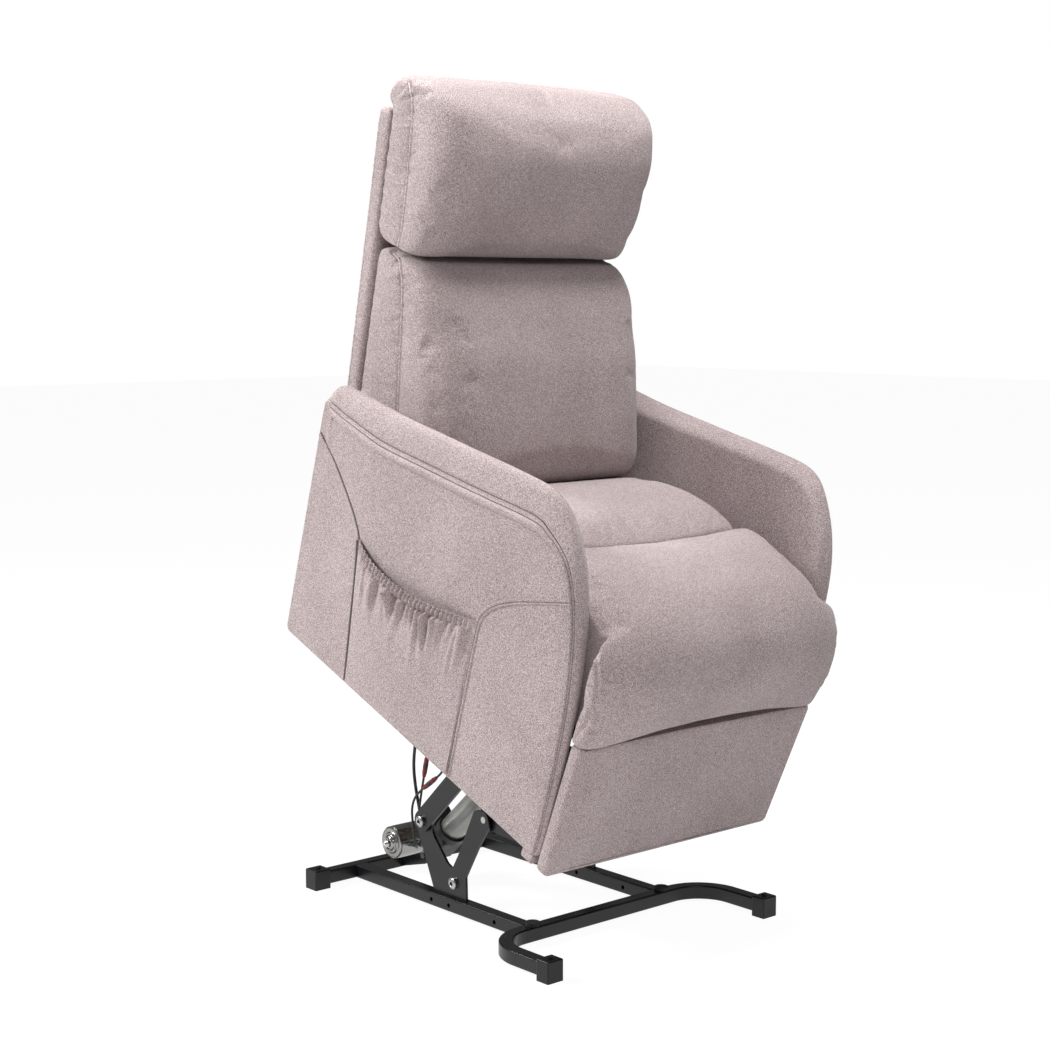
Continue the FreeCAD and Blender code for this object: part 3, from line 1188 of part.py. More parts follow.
LEAD_ROUTE = [*gland_exit(0), (-116, 238, 96), (-127, 231, 116),
              (-136, 229, 142), (-138, 234, 172), (-138, 244, 206), (-138, 250, 246), (-139, 243, 288),
              (-143, 230, 332), (-150, 218, 378), (-160, 206, 426), (-178, 195, 473), (-198, 183, 520),
              *box_entry(-210, 210)]
WIRE_A_LOW = [*gland_exit(1), (-127, 239, 91), (-137, 229, 107),
              (-145, 224, 132), (-147, 223, 158), (-147, 219, 184), (-147, 213, 210), (-147, 207, 234)]
WIRE_B_LOW = [*gland_exit(2), (-137, 243, 90), (-147, 234, 102),
              (-154, 229, 122), (-155, 232, 148), (-154, 235, 171), (-153, 228, 191), (-153, 214, 205),
              (-152, 202, 214)]


def plug_end(route):
    """Return where the connector on a wire's upper end stops, in line with the wire's last run."""
    last, before = vec(*route[-1]), vec(*route[-2])
    step = last - before
    step.normalize()
    return last + step * (2 * SIZE["plug_length"]), step


def wire_above(route, middle, x, forward_by):
    """Return the route of a wire from its connector up to the control box."""
    start, step = plug_end(route)
    return [tuple(start), tuple(start + step * 24), *middle, *box_entry(x, forward_by)]


WIRE_A_HIGH = wire_above(WIRE_A_LOW, [(-150, 186, 340), (-154, 185, 382), (-159, 184, 425), (-166, 183, 467),
                                      (-178, 184, 510), (-190, 190, 546)], -196, 185)
WIRE_B_HIGH = wire_above(WIRE_B_LOW, [(-153, 136, 282), (-154, 133, 318), (-155, 136, 358), (-157, 141, 400),
                                      (-161, 145, 444), (-176, 147, 486), (-198, 148, 522)], -214, 235)


def wiring():
    """Make the control box, the motor's lead, the wires and their connectors."""
    corner = ("0 - box_x - box_width / 2", "0 - box_f - box_length / 2", "seat_rail_low - box_height")
    shell = placed_box("ControlBox", ("box_width", "box_length", "box_height"), corner, FreeCAD.Placement())
    rounded = add("Part::Fillet", "ControlBoxRounded")
    rounded.Base = shell
    doc.recompute()
    rounded.Edges = [(index, 3.0, 3.0) for index, edge in enumerate(shell.Shape.Edges, 1)
                     if abs(edge.tangentAt(edge.FirstParameter).z) > 0.9]
    node(rounded, "control_box", CHAIR)
    node(lead("MotorLead", [LEAD_ROUTE], SIZE["lead_radius"]), "motor_lead")
    plugs = []
    for letter, low, high in (("a", WIRE_A_LOW, WIRE_A_HIGH), ("b", WIRE_B_LOW, WIRE_B_HIGH)):
        node(lead("Wire" + letter.upper(), [low, high], SIZE["wire_radius"]), "connector_wire_" + letter)
        step = plug_end(low)[1]
        plugs.append(bar("Plug" + letter.upper(), "plug_radius", "2 * plug_length", vec(*low[-1]), step))
    node(group("Connectors", plugs), "connectors")


def check(target):
    """Stop if an object failed to build or is not valid."""
    states = [state for state in target.State if state in ("Invalid", "Error")]
    if states:
        raise RuntimeError(f"{target.Label} has the state {states}")
    shape = getattr(target, "Shape", None)
    if target.Label in NODES and (shape is None or shape.isNull() or not shape.isValid() or not shape.Solids):
        raise RuntimeError(f"{target.Label} has no valid solid")


def write():
    """Check every object, then write each sub-part to its own file."""
    doc.recompute()
    for target in doc.Objects:
        check(target)
    os.makedirs("parts", exist_ok=True)
    low, high = vec(1e9, 1e9, 1e9), vec(-1e9, -1e9, -1e9)
    for name, target in NODES.items():
        extent = target.Shape.BoundBox
        low = vec(min(low.x, extent.XMin), min(low.y, extent.YMin), min(low.z, extent.ZMin))
        high = vec(max(high.x, extent.XMax), max(high.y, extent.YMax), max(high.z, extent.ZMax))
        target.Shape.exportStep(f"parts/{name}.step")
    print(f"{len(NODES)} sub-parts, from {low} to {high}")


rear_bar()
rail("l")
rail("r")
front_bar()
foot_caps()
stop_pads()
linkage()
chair_pivot_pins()
actuator()
lift_frame()
wood()
arm()
seat()
back()
footrest()
pocket()
wiring()
write()
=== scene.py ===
"""Lift recliner chair, raised and tilted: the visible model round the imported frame."""

import json
import logging
import math
import random
from collections.abc import Callable, Sequence
from dataclasses import dataclass, field
from enum import Enum

import bmesh
import bpy
import numpy as np
from mathutils import Matrix, Vector
from mathutils.bvhtree import BVHTree


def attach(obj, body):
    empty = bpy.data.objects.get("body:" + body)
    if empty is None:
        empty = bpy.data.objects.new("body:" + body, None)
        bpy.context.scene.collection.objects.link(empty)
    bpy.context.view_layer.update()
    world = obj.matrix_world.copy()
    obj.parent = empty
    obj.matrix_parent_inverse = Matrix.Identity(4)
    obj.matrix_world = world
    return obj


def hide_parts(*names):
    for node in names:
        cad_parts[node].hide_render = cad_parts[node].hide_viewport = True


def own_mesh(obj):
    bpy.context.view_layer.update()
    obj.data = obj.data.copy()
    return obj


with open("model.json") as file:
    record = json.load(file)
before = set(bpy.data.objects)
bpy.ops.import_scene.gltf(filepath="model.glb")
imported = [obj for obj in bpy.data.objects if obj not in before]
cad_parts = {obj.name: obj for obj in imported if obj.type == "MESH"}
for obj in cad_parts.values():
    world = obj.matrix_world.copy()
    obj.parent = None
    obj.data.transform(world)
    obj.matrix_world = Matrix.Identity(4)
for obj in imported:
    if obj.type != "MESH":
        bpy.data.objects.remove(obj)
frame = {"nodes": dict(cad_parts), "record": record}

LOG = logging.getLogger("lift_recliner")
MM = 0.001
Points = Sequence[tuple[float, float]]
Triple = tuple[float, float, float]
Value = np.ndarray | float
Shape = Callable[[np.ndarray], np.ndarray]
Place = Callable[[np.ndarray, np.ndarray], np.ndarray]
Object, Material, Socket = bpy.types.Object, bpy.types.Material, bpy.types.NodeSocket


class Row(Enum):
    """The kinds of rows in an arm's skin, from its outer panel to its inner face."""

    OUTER = "outer"
    BAND = "band"
    TOP = "top"
    INNER_BAND = "inner band"
    INNER = "inner"


@dataclass(frozen=True)
class ChairFrame:
    """The raised chair's own frame: across, forward and up from the side panels' rear corner."""

    rear: float = 422.1
    height: float = 500.4
    tilt: float = 22.93
    half: float = 304.0
    lean: float = 4.4
    toe: float = 2.84
    arm_foot: float = 54.0
    arm_lean: float = 2.5
    shell_low: float = 300.0
    shell_rear: float = -31.0
    shell_slope: float = 120.0 / 637.0
    shell: float = 38.0

    def matrix(self) -> Matrix:
        """Return the matrix from the chair's frame to the row frame, in metres."""
        turn = Matrix.Rotation(math.radians(self.tilt), 4, "X")
        return Matrix.Translation((0, self.rear * MM, self.height * MM)) @ turn

    def panel(self, forward: Value, up: Value) -> Value:
        """Return how far out a side panel's outer face is at a place on it."""
        lean, toe = math.tan(math.radians(self.lean)), math.tan(math.radians(self.toe))
        return self.half + up * lean - forward * toe

    def arm_inner(self, up: Value) -> Value:
        """Return how far out an arm's inner face is at a height."""
        return self.half - self.arm_foot + up * math.tan(math.radians(self.arm_lean))

    def shell_back(self, up: Value) -> Value:
        """Return how far forward the back shell's rear face is at a height."""
        return self.shell_rear - (up - self.shell_low) * self.shell_slope

    def shell_front(self, up: Value) -> Value:
        """Return how far forward the back shell's front face is at a height."""
        return self.shell_back(up) + self.shell


CHAIR = ChairFrame()


# Finishes.


class Nodes:
    """A material's node tree, with short calls to add and join nodes."""

    def __init__(self, name: str) -> None:
        """Start a material with a shader and an output."""
        self.material = bpy.data.materials.new(name)
        self.material.use_nodes = True
        self.tree = self.material.node_tree
        self.tree.nodes.clear()
        self.out = self.tree.nodes.new("ShaderNodeOutputMaterial")
        self.shader = self.tree.nodes.new("ShaderNodeBsdfPrincipled")
        self.tree.links.new(self.shader.outputs[0], self.out.inputs[0])
        self.place = self.tree.nodes.new("ShaderNodeTexCoord").outputs["Object"]

    def add(self, kind: str, **settings: object) -> bpy.types.Node:
        """Add a node and set its properties and its inputs by name."""
        made = self.tree.nodes.new("ShaderNode" + kind)
        for key, value in settings.items():
            if hasattr(made, key):
                setattr(made, key, value)
            else:
                made.inputs[key.replace("_", " ")].default_value = value
        return made

    def join(self, out: Socket, into: Socket) -> None:
        """Join an output to an input."""
        self.tree.links.new(out, into)

    def turned(self, scale: Triple, turn: Triple) -> Socket:
        """Return object coordinates turned by degrees and stretched."""
        mapping = self.add("Mapping")
        mapping.inputs["Rotation"].default_value = [math.radians(angle) for angle in turn]
        mapping.inputs["Scale"].default_value = scale
        self.join(self.place, mapping.inputs["Vector"])
        return mapping.outputs[0]

    def noise(self, at: Socket, scale: float, detail: float = 2.0, rough: float = 0.55) -> Socket:
        """Return a noise value at coordinates."""
        made = self.add("TexNoise", Scale=scale, Detail=detail, Roughness=rough)
        self.join(at, made.inputs["Vector"])
        return made.outputs["Fac"]

    def ramp(self, value: Socket, stops: Sequence[tuple[float, Triple]]) -> Socket:
        """Return a colour read from a ramp of stops."""
        made = self.tree.nodes.new("ShaderNodeValToRGB")
        band = made.color_ramp
        while len(band.elements) < len(stops):
            band.elements.new(0.5)
        for element, (where, colour) in zip(band.elements, stops):
            element.position = where
            element.color = (*colour, 1.0)
        self.join(value, made.inputs["Fac"])
        return made.outputs["Color"]

    def math(self, kind: str, first: Socket, second: Socket | float) -> Socket:
        """Return a sum, product or the like of two values."""
        made = self.tree.nodes.new("ShaderNodeMath")
        made.operation = kind
        self.join(first, made.inputs[0])
        if isinstance(second, float):
            made.inputs[1].default_value = second
        else:
            self.join(second, made.inputs[1])
        return made.outputs[0]

    def bump(self, height: Socket, strength: float, distance: float) -> None:
        """Give the shader a relief from a height."""
        made = self.add("Bump", Strength=strength, Distance=distance)
        self.join(height, made.inputs["Height"])
        self.join(made.outputs[0], self.shader.inputs["Normal"])

    def set(self, **values: object) -> None:
        """Set plain values on the shader's sockets."""
        for key, value in values.items():
            self.shader.inputs[key.replace("_", " ")].default_value = value


@dataclass(frozen=True)
class Weave:
    """Heathered woven cover cloth: pale and dark yarns in a fine slanting weave."""

    name: str = "heather_cloth"
    dark: Triple = (0.155, 0.116, 0.116)
    mid: Triple = (0.345, 0.275, 0.274)
    pale: Triple = (0.64, 0.551, 0.547)
    yarn: float = 1150.0
    relief: float = 1.0
    contrast: float = 0.082

    def build(self) -> Material:
        """Return the cloth's material."""
        nodes = Nodes(self.name)
        slant = nodes.turned((1.0, 0.5, 0.42), (-CHAIR.tilt, 32.0, 24.0))
        cross = nodes.turned((0.55, 1.0, 1.0), (-CHAIR.tilt, -38.0, -20.0))
        first = nodes.noise(slant, self.yarn, 3.0, 0.62)
        second = nodes.noise(cross, self.yarn * 1.15, 2.0, 0.6)
        both = nodes.math("MULTIPLY", nodes.math("ADD", first, second), 0.5)
        broad = nodes.noise(nodes.place, 7.0, 2.0, 0.5)
        lift = nodes.math("MULTIPLY", nodes.math("SUBTRACT", broad, 0.5), 0.05)
        tone = nodes.math("ADD", both, lift)
        stops = [(0.5 - self.contrast, self.dark), (0.5, self.mid), (0.5 + self.contrast, self.pale)]
        nodes.join(nodes.ramp(tone, stops), nodes.shader.inputs["Base Color"])
        nodes.set(Roughness=0.92, Sheen_Weight=0.22, Sheen_Roughness=0.45, Specular_IOR_Level=0.18,
                  Sheen_Tint=(1.0, 0.97, 0.97, 1.0))
        nodes.bump(both, self.relief, 1.2 * MM)
        return nodes.material


@dataclass(frozen=True)
class Coat:
    """Painted, moulded or plated surface with a fine relief and worn or dusty patches."""

    name: str
    base: Triple
    worn: Triple
    rough: float = 0.4
    metal: float = 0.0
    grain: float = 900.0
    relief: float = 0.08
    shine: float = 0.5

    def build(self) -> Material:
        """Return the surface's material."""
        nodes = Nodes(self.name)
        patches = nodes.noise(nodes.place, 14.0, 5.0, 0.65)
        fine = nodes.noise(nodes.place, self.grain, 2.0, 0.5)
        colour = nodes.ramp(patches, [(0.42, self.base), (0.78, self.worn)])
        nodes.join(colour, nodes.shader.inputs["Base Color"])
        low, high = max(self.rough - 0.07, 0.03), min(self.rough + 0.12, 1.0)
        gloss = nodes.ramp(patches, [(0.3, (low,) * 3), (0.75, (high,) * 3)])
        nodes.join(gloss, nodes.shader.inputs["Roughness"])
        nodes.set(Metallic=self.metal, Specular_IOR_Level=self.shine)
        nodes.bump(fine, self.relief, 0.4 * MM)
        return nodes.material


@dataclass(frozen=True)
class Ply:
    """Bare plywood with long grain."""

    name: str = "birch_ply"
    dark: Triple = (0.33, 0.2, 0.1)
    mid: Triple = (0.55, 0.38, 0.21)
    pale: Triple = (0.66, 0.49, 0.3)

    def build(self) -> Material:
        """Return the wood's material."""
        nodes = Nodes(self.name)
        grain = nodes.noise(nodes.turned((3.0, 60.0, 60.0), (-CHAIR.tilt, 0, 0)), 6.0, 6.0, 0.6)
        colour = nodes.ramp(grain, [(0.3, self.dark), (0.55, self.mid), (0.75, self.pale)])
        nodes.join(colour, nodes.shader.inputs["Base Color"])
        nodes.set(Roughness=0.7)
        nodes.bump(grain, 0.15, 0.6 * MM)
        return nodes.material


class Palette:
    """Every finish of the chair, made once."""

    def __init__(self) -> None:
        """Make the finishes."""
        self.cloth = Weave().build()
        self.thread = Weave("seam_thread", (0.30, 0.25, 0.25), (0.52, 0.45, 0.45), (0.82, 0.77, 0.77),
                            yarn=700.0).build()
        # seam_shade: near-black cloth laid in thin strips and threads as painted shade along seams, stitch
        # grooves and the pocket's edge.
        self.shade = Weave("seam_shade", (0.05, 0.04, 0.04), (0.12, 0.095, 0.095), (0.2, 0.17, 0.17)).build()
        self.wood = Ply().build()
        self.black = Coat("black_coat", (0.0045, 0.0048, 0.0062), (0.0075, 0.0078, 0.009), 0.30,
                          grain=1400.0, relief=0.10, shine=0.42).build()
        self.cap = Coat("cap_moulding", (0.005, 0.005, 0.0055), (0.009, 0.009, 0.0095), 0.42,
                        grain=2200.0, relief=0.14, shine=0.4).build()
        self.pad = Coat("pad_rubber", (0.012,) * 3, (0.03,) * 3, 0.75, grain=1800.0, relief=0.2).build()
        self.bolt = Coat("zinc_bolt", (0.50, 0.50, 0.49), (0.33, 0.325, 0.31), 0.3, 1.0).build()
        self.can = Coat("motor_plating", (0.36, 0.355, 0.345), (0.26, 0.255, 0.25), 0.27, 1.0,
                        relief=0.03).build()
        self.tube = Coat("thrust_tube", (0.33, 0.33, 0.315), (0.22, 0.22, 0.21), 0.32, 0.75,
                         relief=0.05).build()
        self.rod = Coat("rod_steel", (0.66, 0.66, 0.67), (0.5, 0.5, 0.5), 0.16, 1.0, relief=0.02).build()
        self.gear = Coat("gear_moulding", (0.015, 0.015, 0.016), (0.032, 0.032, 0.034), 0.5,
                         grain=1600.0, relief=0.2).build()
        self.rubber = Coat("lead_sheath", (0.011, 0.011, 0.012), (0.024, 0.024, 0.025), 0.42,
                           grain=1500.0, relief=0.05).build()
        self.red = Coat("plug_red", (0.14, 0.004, 0.007), (0.22, 0.010, 0.013), 0.4).build()
        self.box = Coat("box_moulding", (0.02, 0.02, 0.021), (0.035, 0.035, 0.036), 0.5,
                        grain=1800.0, relief=0.2).build()

    def of(self, slot: str) -> Material:
        """Return the finish of one of the record's slots."""
        return {"frame_black": self.black, "cap_plastic": self.cap, "pad_rubber": self.pad,
                "bolt_steel": self.bolt, "motor_metal": self.can, "barrel_grey": self.tube,
                "gear_plastic": self.gear, "rod_steel": self.rod, "board_wood": self.wood,
                "cover_fabric": self.cloth, "lead_rubber": self.rubber, "plug_red": self.red,
                "box_plastic": self.box}[slot]


# Modelling.


class Bench:
    """The workbench: selecting, editing and finishing meshes."""

    ALIGNED = 0.9

    @staticmethod
    def clear() -> None:
        """Deselect everything in object mode."""
        if bpy.context.mode != "OBJECT":
            bpy.ops.object.mode_set(mode="OBJECT")
        bpy.ops.object.select_all(action="DESELECT")

    @staticmethod
    def take(obj: Object) -> Object:
        """Select one object alone and make it active."""
        Bench.clear()
        obj.select_set(True)
        bpy.context.view_layer.objects.active = obj
        return obj

    @staticmethod
    def edit(obj: Object, work: Callable[[], object]) -> None:
        """Run edit-mode work on the whole mesh."""
        Bench.take(obj)
        bpy.ops.object.mode_set(mode="EDIT")
        bpy.ops.mesh.select_all(action="SELECT")
        work()
        bpy.ops.object.mode_set(mode="OBJECT")

    @staticmethod
    def pick(obj: Object, part: str, test: Callable[..., bool]) -> None:
        """Select the faces or edges that pass a test; the object is in edit mode.

        Args:
            obj: The object.
            part: "faces" or "edges".
            test: Says of one face or edge whether it is picked.
        """
        mesh = bmesh.from_edit_mesh(obj.data)
        bpy.ops.mesh.select_all(action="DESELECT")
        for element in getattr(mesh, part):
            element.select_set(test(element))
        bmesh.update_edit_mesh(obj.data)

    @staticmethod
    def refine(obj: Object, cuts: int) -> None:
        """Cut the broad front and rear faces into a fine grid."""
        def work() -> None:
            """Pick them and cut."""
            Bench.pick(obj, "faces", lambda face: abs(face.normal.y) > Bench.ALIGNED)
            bpy.ops.mesh.subdivide(number_cuts=cuts)

        Bench.edit(obj, work)

    @staticmethod
    def modify(obj: Object, kind: str, **settings: object) -> Object:
        """Add a modifier, set it and apply it."""
        Bench.take(obj)
        made = obj.modifiers.new(kind.title(), kind)
        for key, value in settings.items():
            setattr(made, key, value)
        bpy.ops.object.modifier_apply(modifier=made.name)
        return obj

    @staticmethod
    def smooth(obj: Object, levels: int = 1) -> Object:
        """Subdivide a mesh smoothly."""
        return Bench.modify(obj, "SUBSURF", levels=levels, render_levels=levels)

    @staticmethod
    def points(obj: Object, what: str = "co") -> np.ndarray:
        """Return a mesh's vertex places, or another of their vectors by its name."""
        flat = np.empty(len(obj.data.vertices) * 3, np.float64)
        obj.data.vertices.foreach_get(what, flat)
        return flat.reshape(-1, 3)

    @staticmethod
    def move(obj: Object, places: np.ndarray) -> None:
        """Put a mesh's vertices at new places."""
        obj.data.vertices.foreach_set("co", places.astype(np.float32).ravel())
        obj.data.update()

    @staticmethod
    def outward(obj: Object) -> None:
        """Merge doubles and turn the faces outwards."""
        def work() -> None:
            """Merge and turn."""
            bpy.ops.mesh.remove_doubles(threshold=0.02 * MM)
            bpy.ops.mesh.normals_make_consistent(inside=False)

        Bench.edit(obj, work)

    @staticmethod
    def start(name: str, add: Callable[..., object], **settings: object) -> Object:
        """Add a primitive with nothing else selected, and name it."""
        Bench.clear()
        add(**settings)
        made = bpy.context.active_object
        made.name = made.data.name = name
        return made

    @staticmethod
    def lay(obj: Object, matrix: Matrix) -> None:
        """Move a mesh by a matrix and leave its object at the origin."""
        Bench.take(obj)
        obj.matrix_world = matrix
        bpy.ops.object.transform_apply(location=True, rotation=True, scale=True)

    @staticmethod
    def skin(name: str, columns: int, rows: int, place: Place) -> Object:
        """Add a grid and lay its vertices out.

        Args:
            name: The piece's name.
            columns: Faces across.
            rows: Faces down.
            place: Gives places from each vertex's shares across and down, 0 to 1.

        Returns:
            The new piece.
        """
        made = Bench.start(name, bpy.ops.mesh.primitive_grid_add, x_subdivisions=columns, y_subdivisions=rows,
                           size=1.0)
        flat = Bench.points(made)
        Bench.move(made, place(flat[:, 0] + 0.5, flat[:, 1] + 0.5))
        return made

    @staticmethod
    def block(name: str, low: Sequence[float], high: Sequence[float], bevel: float, segments: int = 4,
              corner: float = 0.0) -> Object:
        """Add a cube, stretch it between two corners and round its edges.

        Args:
            name: The piece's name.
            low: Lowest corner, in millimetres.
            high: Highest corner, in millimetres.
            bevel: Rounding, in millimetres.
            segments: Faces round an edge.
            corner: Rounding of the four edges that run front to back, in millimetres.

        Returns:
            The new piece.
        """
        made = Bench.start(name, bpy.ops.mesh.primitive_cube_add, size=1.0)
        low, high = np.array(low) * MM, np.array(high) * MM
        Bench.move(made, (low + high) / 2 + Bench.points(made) * (high - low))
        if corner:
            Bench.edit(made, lambda: Bench.round_corners(made, corner))
        Bench.edit(made, lambda: Bench.round_rims(made, bevel, segments, bool(corner)))
        return made

    @staticmethod
    def round_corners(obj: Object, radius: float) -> None:
        """Round the edges that run front to back; the object is in edit mode."""
        Bench.pick(obj, "edges", lambda edge: abs(Bench.along(edge).y) > Bench.ALIGNED)
        bpy.ops.mesh.bevel(offset=radius * MM, segments=8, profile=0.5)

    @staticmethod
    def round_rims(obj: Object, radius: float, segments: int, only_rims: bool) -> None:
        """Round all the edges, or only those round the front and rear faces; the object is in edit mode."""
        def on_rim(edge: bmesh.types.BMEdge) -> bool:
            """Say whether an edge borders the front or the rear face."""
            broad = any(abs(face.normal.y) > Bench.ALIGNED for face in edge.link_faces)
            return broad and abs(Bench.along(edge).y) < 1 - Bench.ALIGNED

        if only_rims:
            Bench.pick(obj, "edges", on_rim)
        bpy.ops.mesh.bevel(offset=radius * MM, segments=segments, profile=0.6)

    @staticmethod
    def along(edge: bmesh.types.BMEdge) -> Vector:
        """Return an edge's direction."""
        return (edge.verts[0].co - edge.verts[1].co).normalized()

    @staticmethod
    def turned_piece(name: str, profile: Points, origin: Sequence[float], axis: Sequence[float],
                     steps: int = 64) -> Object:
        """Spin a profile of (along, radius) points in millimetres about an axis.

        Args:
            name: The piece's name.
            profile: Points along the axis with their radius.
            origin: The axis's start, in millimetres.
            axis: The axis's direction.
            steps: Faces round the axis.

        Returns:
            The new piece.
        """
        made = Bench.start(name, bpy.ops.mesh.primitive_circle_add, vertices=len(profile), radius=1.0)
        mesh = bmesh.new()
        mesh.from_mesh(made.data)
        mesh.verts.ensure_lookup_table()
        for vert, (along, radius) in zip(mesh.verts, profile):
            vert.co = Vector((radius * MM, 0, along * MM))
        for edge in [e for e in mesh.edges if {v.index for v in e.verts} == {0, len(profile) - 1}]:
            mesh.edges.remove(edge)
        mesh.to_mesh(made.data)
        mesh.free()
        Bench.edit(made, lambda: bpy.ops.mesh.spin(steps=steps, angle=2 * math.pi, center=(0, 0, 0),
                                                   axis=(0, 0, 1)))
        Bench.outward(made)
        turn = Vector(axis).to_track_quat("Z", "Y").to_matrix().to_4x4()
        Bench.lay(made, Matrix.Translation(Vector(origin) * MM) @ turn)
        return made

    @staticmethod
    def finish(obj: Object, material: Material, body: str, slot: str,
               replaced: Sequence[str] = (), chair: bool = False, sharp: float = 40.0) -> Object:
        """Place, shade, dress and hand over a finished piece.

        Args:
            obj: The piece.
            material: Its finish.
            body: The body it rides on.
            slot: The record's material slot; not used.
            replaced: The frame's nodes that it stands for.
            chair: True if its mesh is in the chair's frame.
            sharp: Edges over this many degrees stay sharp.

        Returns:
            The piece.
        """
        Bench.take(obj)
        if chair:
            Bench.lay(obj, CHAIR.matrix())
        bpy.ops.object.shade_smooth_by_angle(angle=math.radians(sharp))
        obj.data.materials.clear()
        obj.data.materials.append(material)
        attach(obj, body)
        if replaced:
            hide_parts(*replaced)
        LOG.info("%s: %d faces on %s", obj.name, len(obj.data.polygons), body)
        return obj


def eased(value: Value) -> Value:
    """Return a smooth step from 0 to 1."""
    held = np.clip(value, 0.0, 1.0)
    return held * held * (3 - 2 * held)


def bell(offset: Value, breadth: Value) -> Value:
    """Return a bell curve of height 1 about 0."""
    return np.exp(-((offset / breadth) ** 2))


def dome(offset: Value, reach: float, power: float) -> Value:
    """Return 1 in the middle, falling to 0 at a reach from it, later with a higher power."""
    return 1 - np.clip(np.abs(offset) / reach, 0, 1) ** power


def lengths(line: np.ndarray) -> np.ndarray:
    """Return the distances between a line's neighbouring points."""
    return np.linalg.norm(np.diff(line, axis=0), axis=1)


def unit(ways: np.ndarray) -> np.ndarray:
    """Return directions at length 1."""
    return ways / np.linalg.norm(ways, axis=1)[:, None]


def nearest(share: np.ndarray, count: int) -> np.ndarray:
    """Return the steps, of so many, that shares from 0 to 1 stand for."""
    return np.rint(share * count).astype(int)


def in_chair(x: Value, flat: np.ndarray) -> np.ndarray:
    """Return places in the chair's frame, in metres, from millimetres across and (forward, up)."""
    return np.stack([x + 0 * flat[:, 0], -flat[:, 0], flat[:, 1]], axis=1) * MM


def letter(side: int) -> str:
    """Return the letter that a side's pieces end in: 1 is the left, -1 the right."""
    return "l" if side > 0 else "r"


def rounded_loop(points: Points, radius: float, steps: int = 9) -> np.ndarray:
    """Round a closed outline's corners with curves that start up to a radius before them."""
    loop = np.array(points, float)
    before, after = np.roll(loop, 1, axis=0), np.roll(loop, -1, axis=0)
    out = []
    for corner, last, following in zip(loop, before, after):
        near, far = last - corner, following - corner
        cut_in = min(radius, 0.46 * np.linalg.norm(near)) / np.linalg.norm(near)
        cut_out = min(radius, 0.46 * np.linalg.norm(far)) / np.linalg.norm(far)
        start, end = corner + near * cut_in, corner + far * cut_out
        for share in np.linspace(0, 1, steps):
            out.append((1 - share) ** 2 * start + 2 * share * (1 - share) * corner + share ** 2 * end)
    return np.array(out)


def spaced(line: np.ndarray, count: int, closed: bool) -> np.ndarray:
    """Return points at equal steps along a line, without the repeated last one if it is closed."""
    if closed:
        line = np.vstack([line, line[:1]])
    steps = np.concatenate([[0], np.cumsum(lengths(line))])
    at = np.linspace(0, steps[-1], count + 1 if closed else count)
    out = np.stack([np.interp(at, steps, line[:, axis]) for axis in range(line.shape[1])], axis=1)
    return out[:-1] if closed else out


def rounded_line(points: Sequence[Sequence[float]], times: int = 3) -> np.ndarray:
    """Cut an open line's corners, keeping its two ends."""
    line = np.array(points, float)
    for _ in range(times):
        near, far = 0.75 * line[:-1] + 0.25 * line[1:], 0.25 * line[:-1] + 0.75 * line[1:]
        inner = np.stack([near, far], axis=1).reshape(-1, line.shape[1])
        line = np.vstack([line[:1], inner[1:-1], line[-1:]])
    return line


@dataclass(frozen=True)
class Seam:
    """A cushion's two side seams, in millimetres, with tucks (right, left) on a share of their length."""

    depth: float
    width: float
    pucker: float
    reach: float
    tucks: tuple[int, int]
    seed: int
    where: tuple[float, float]


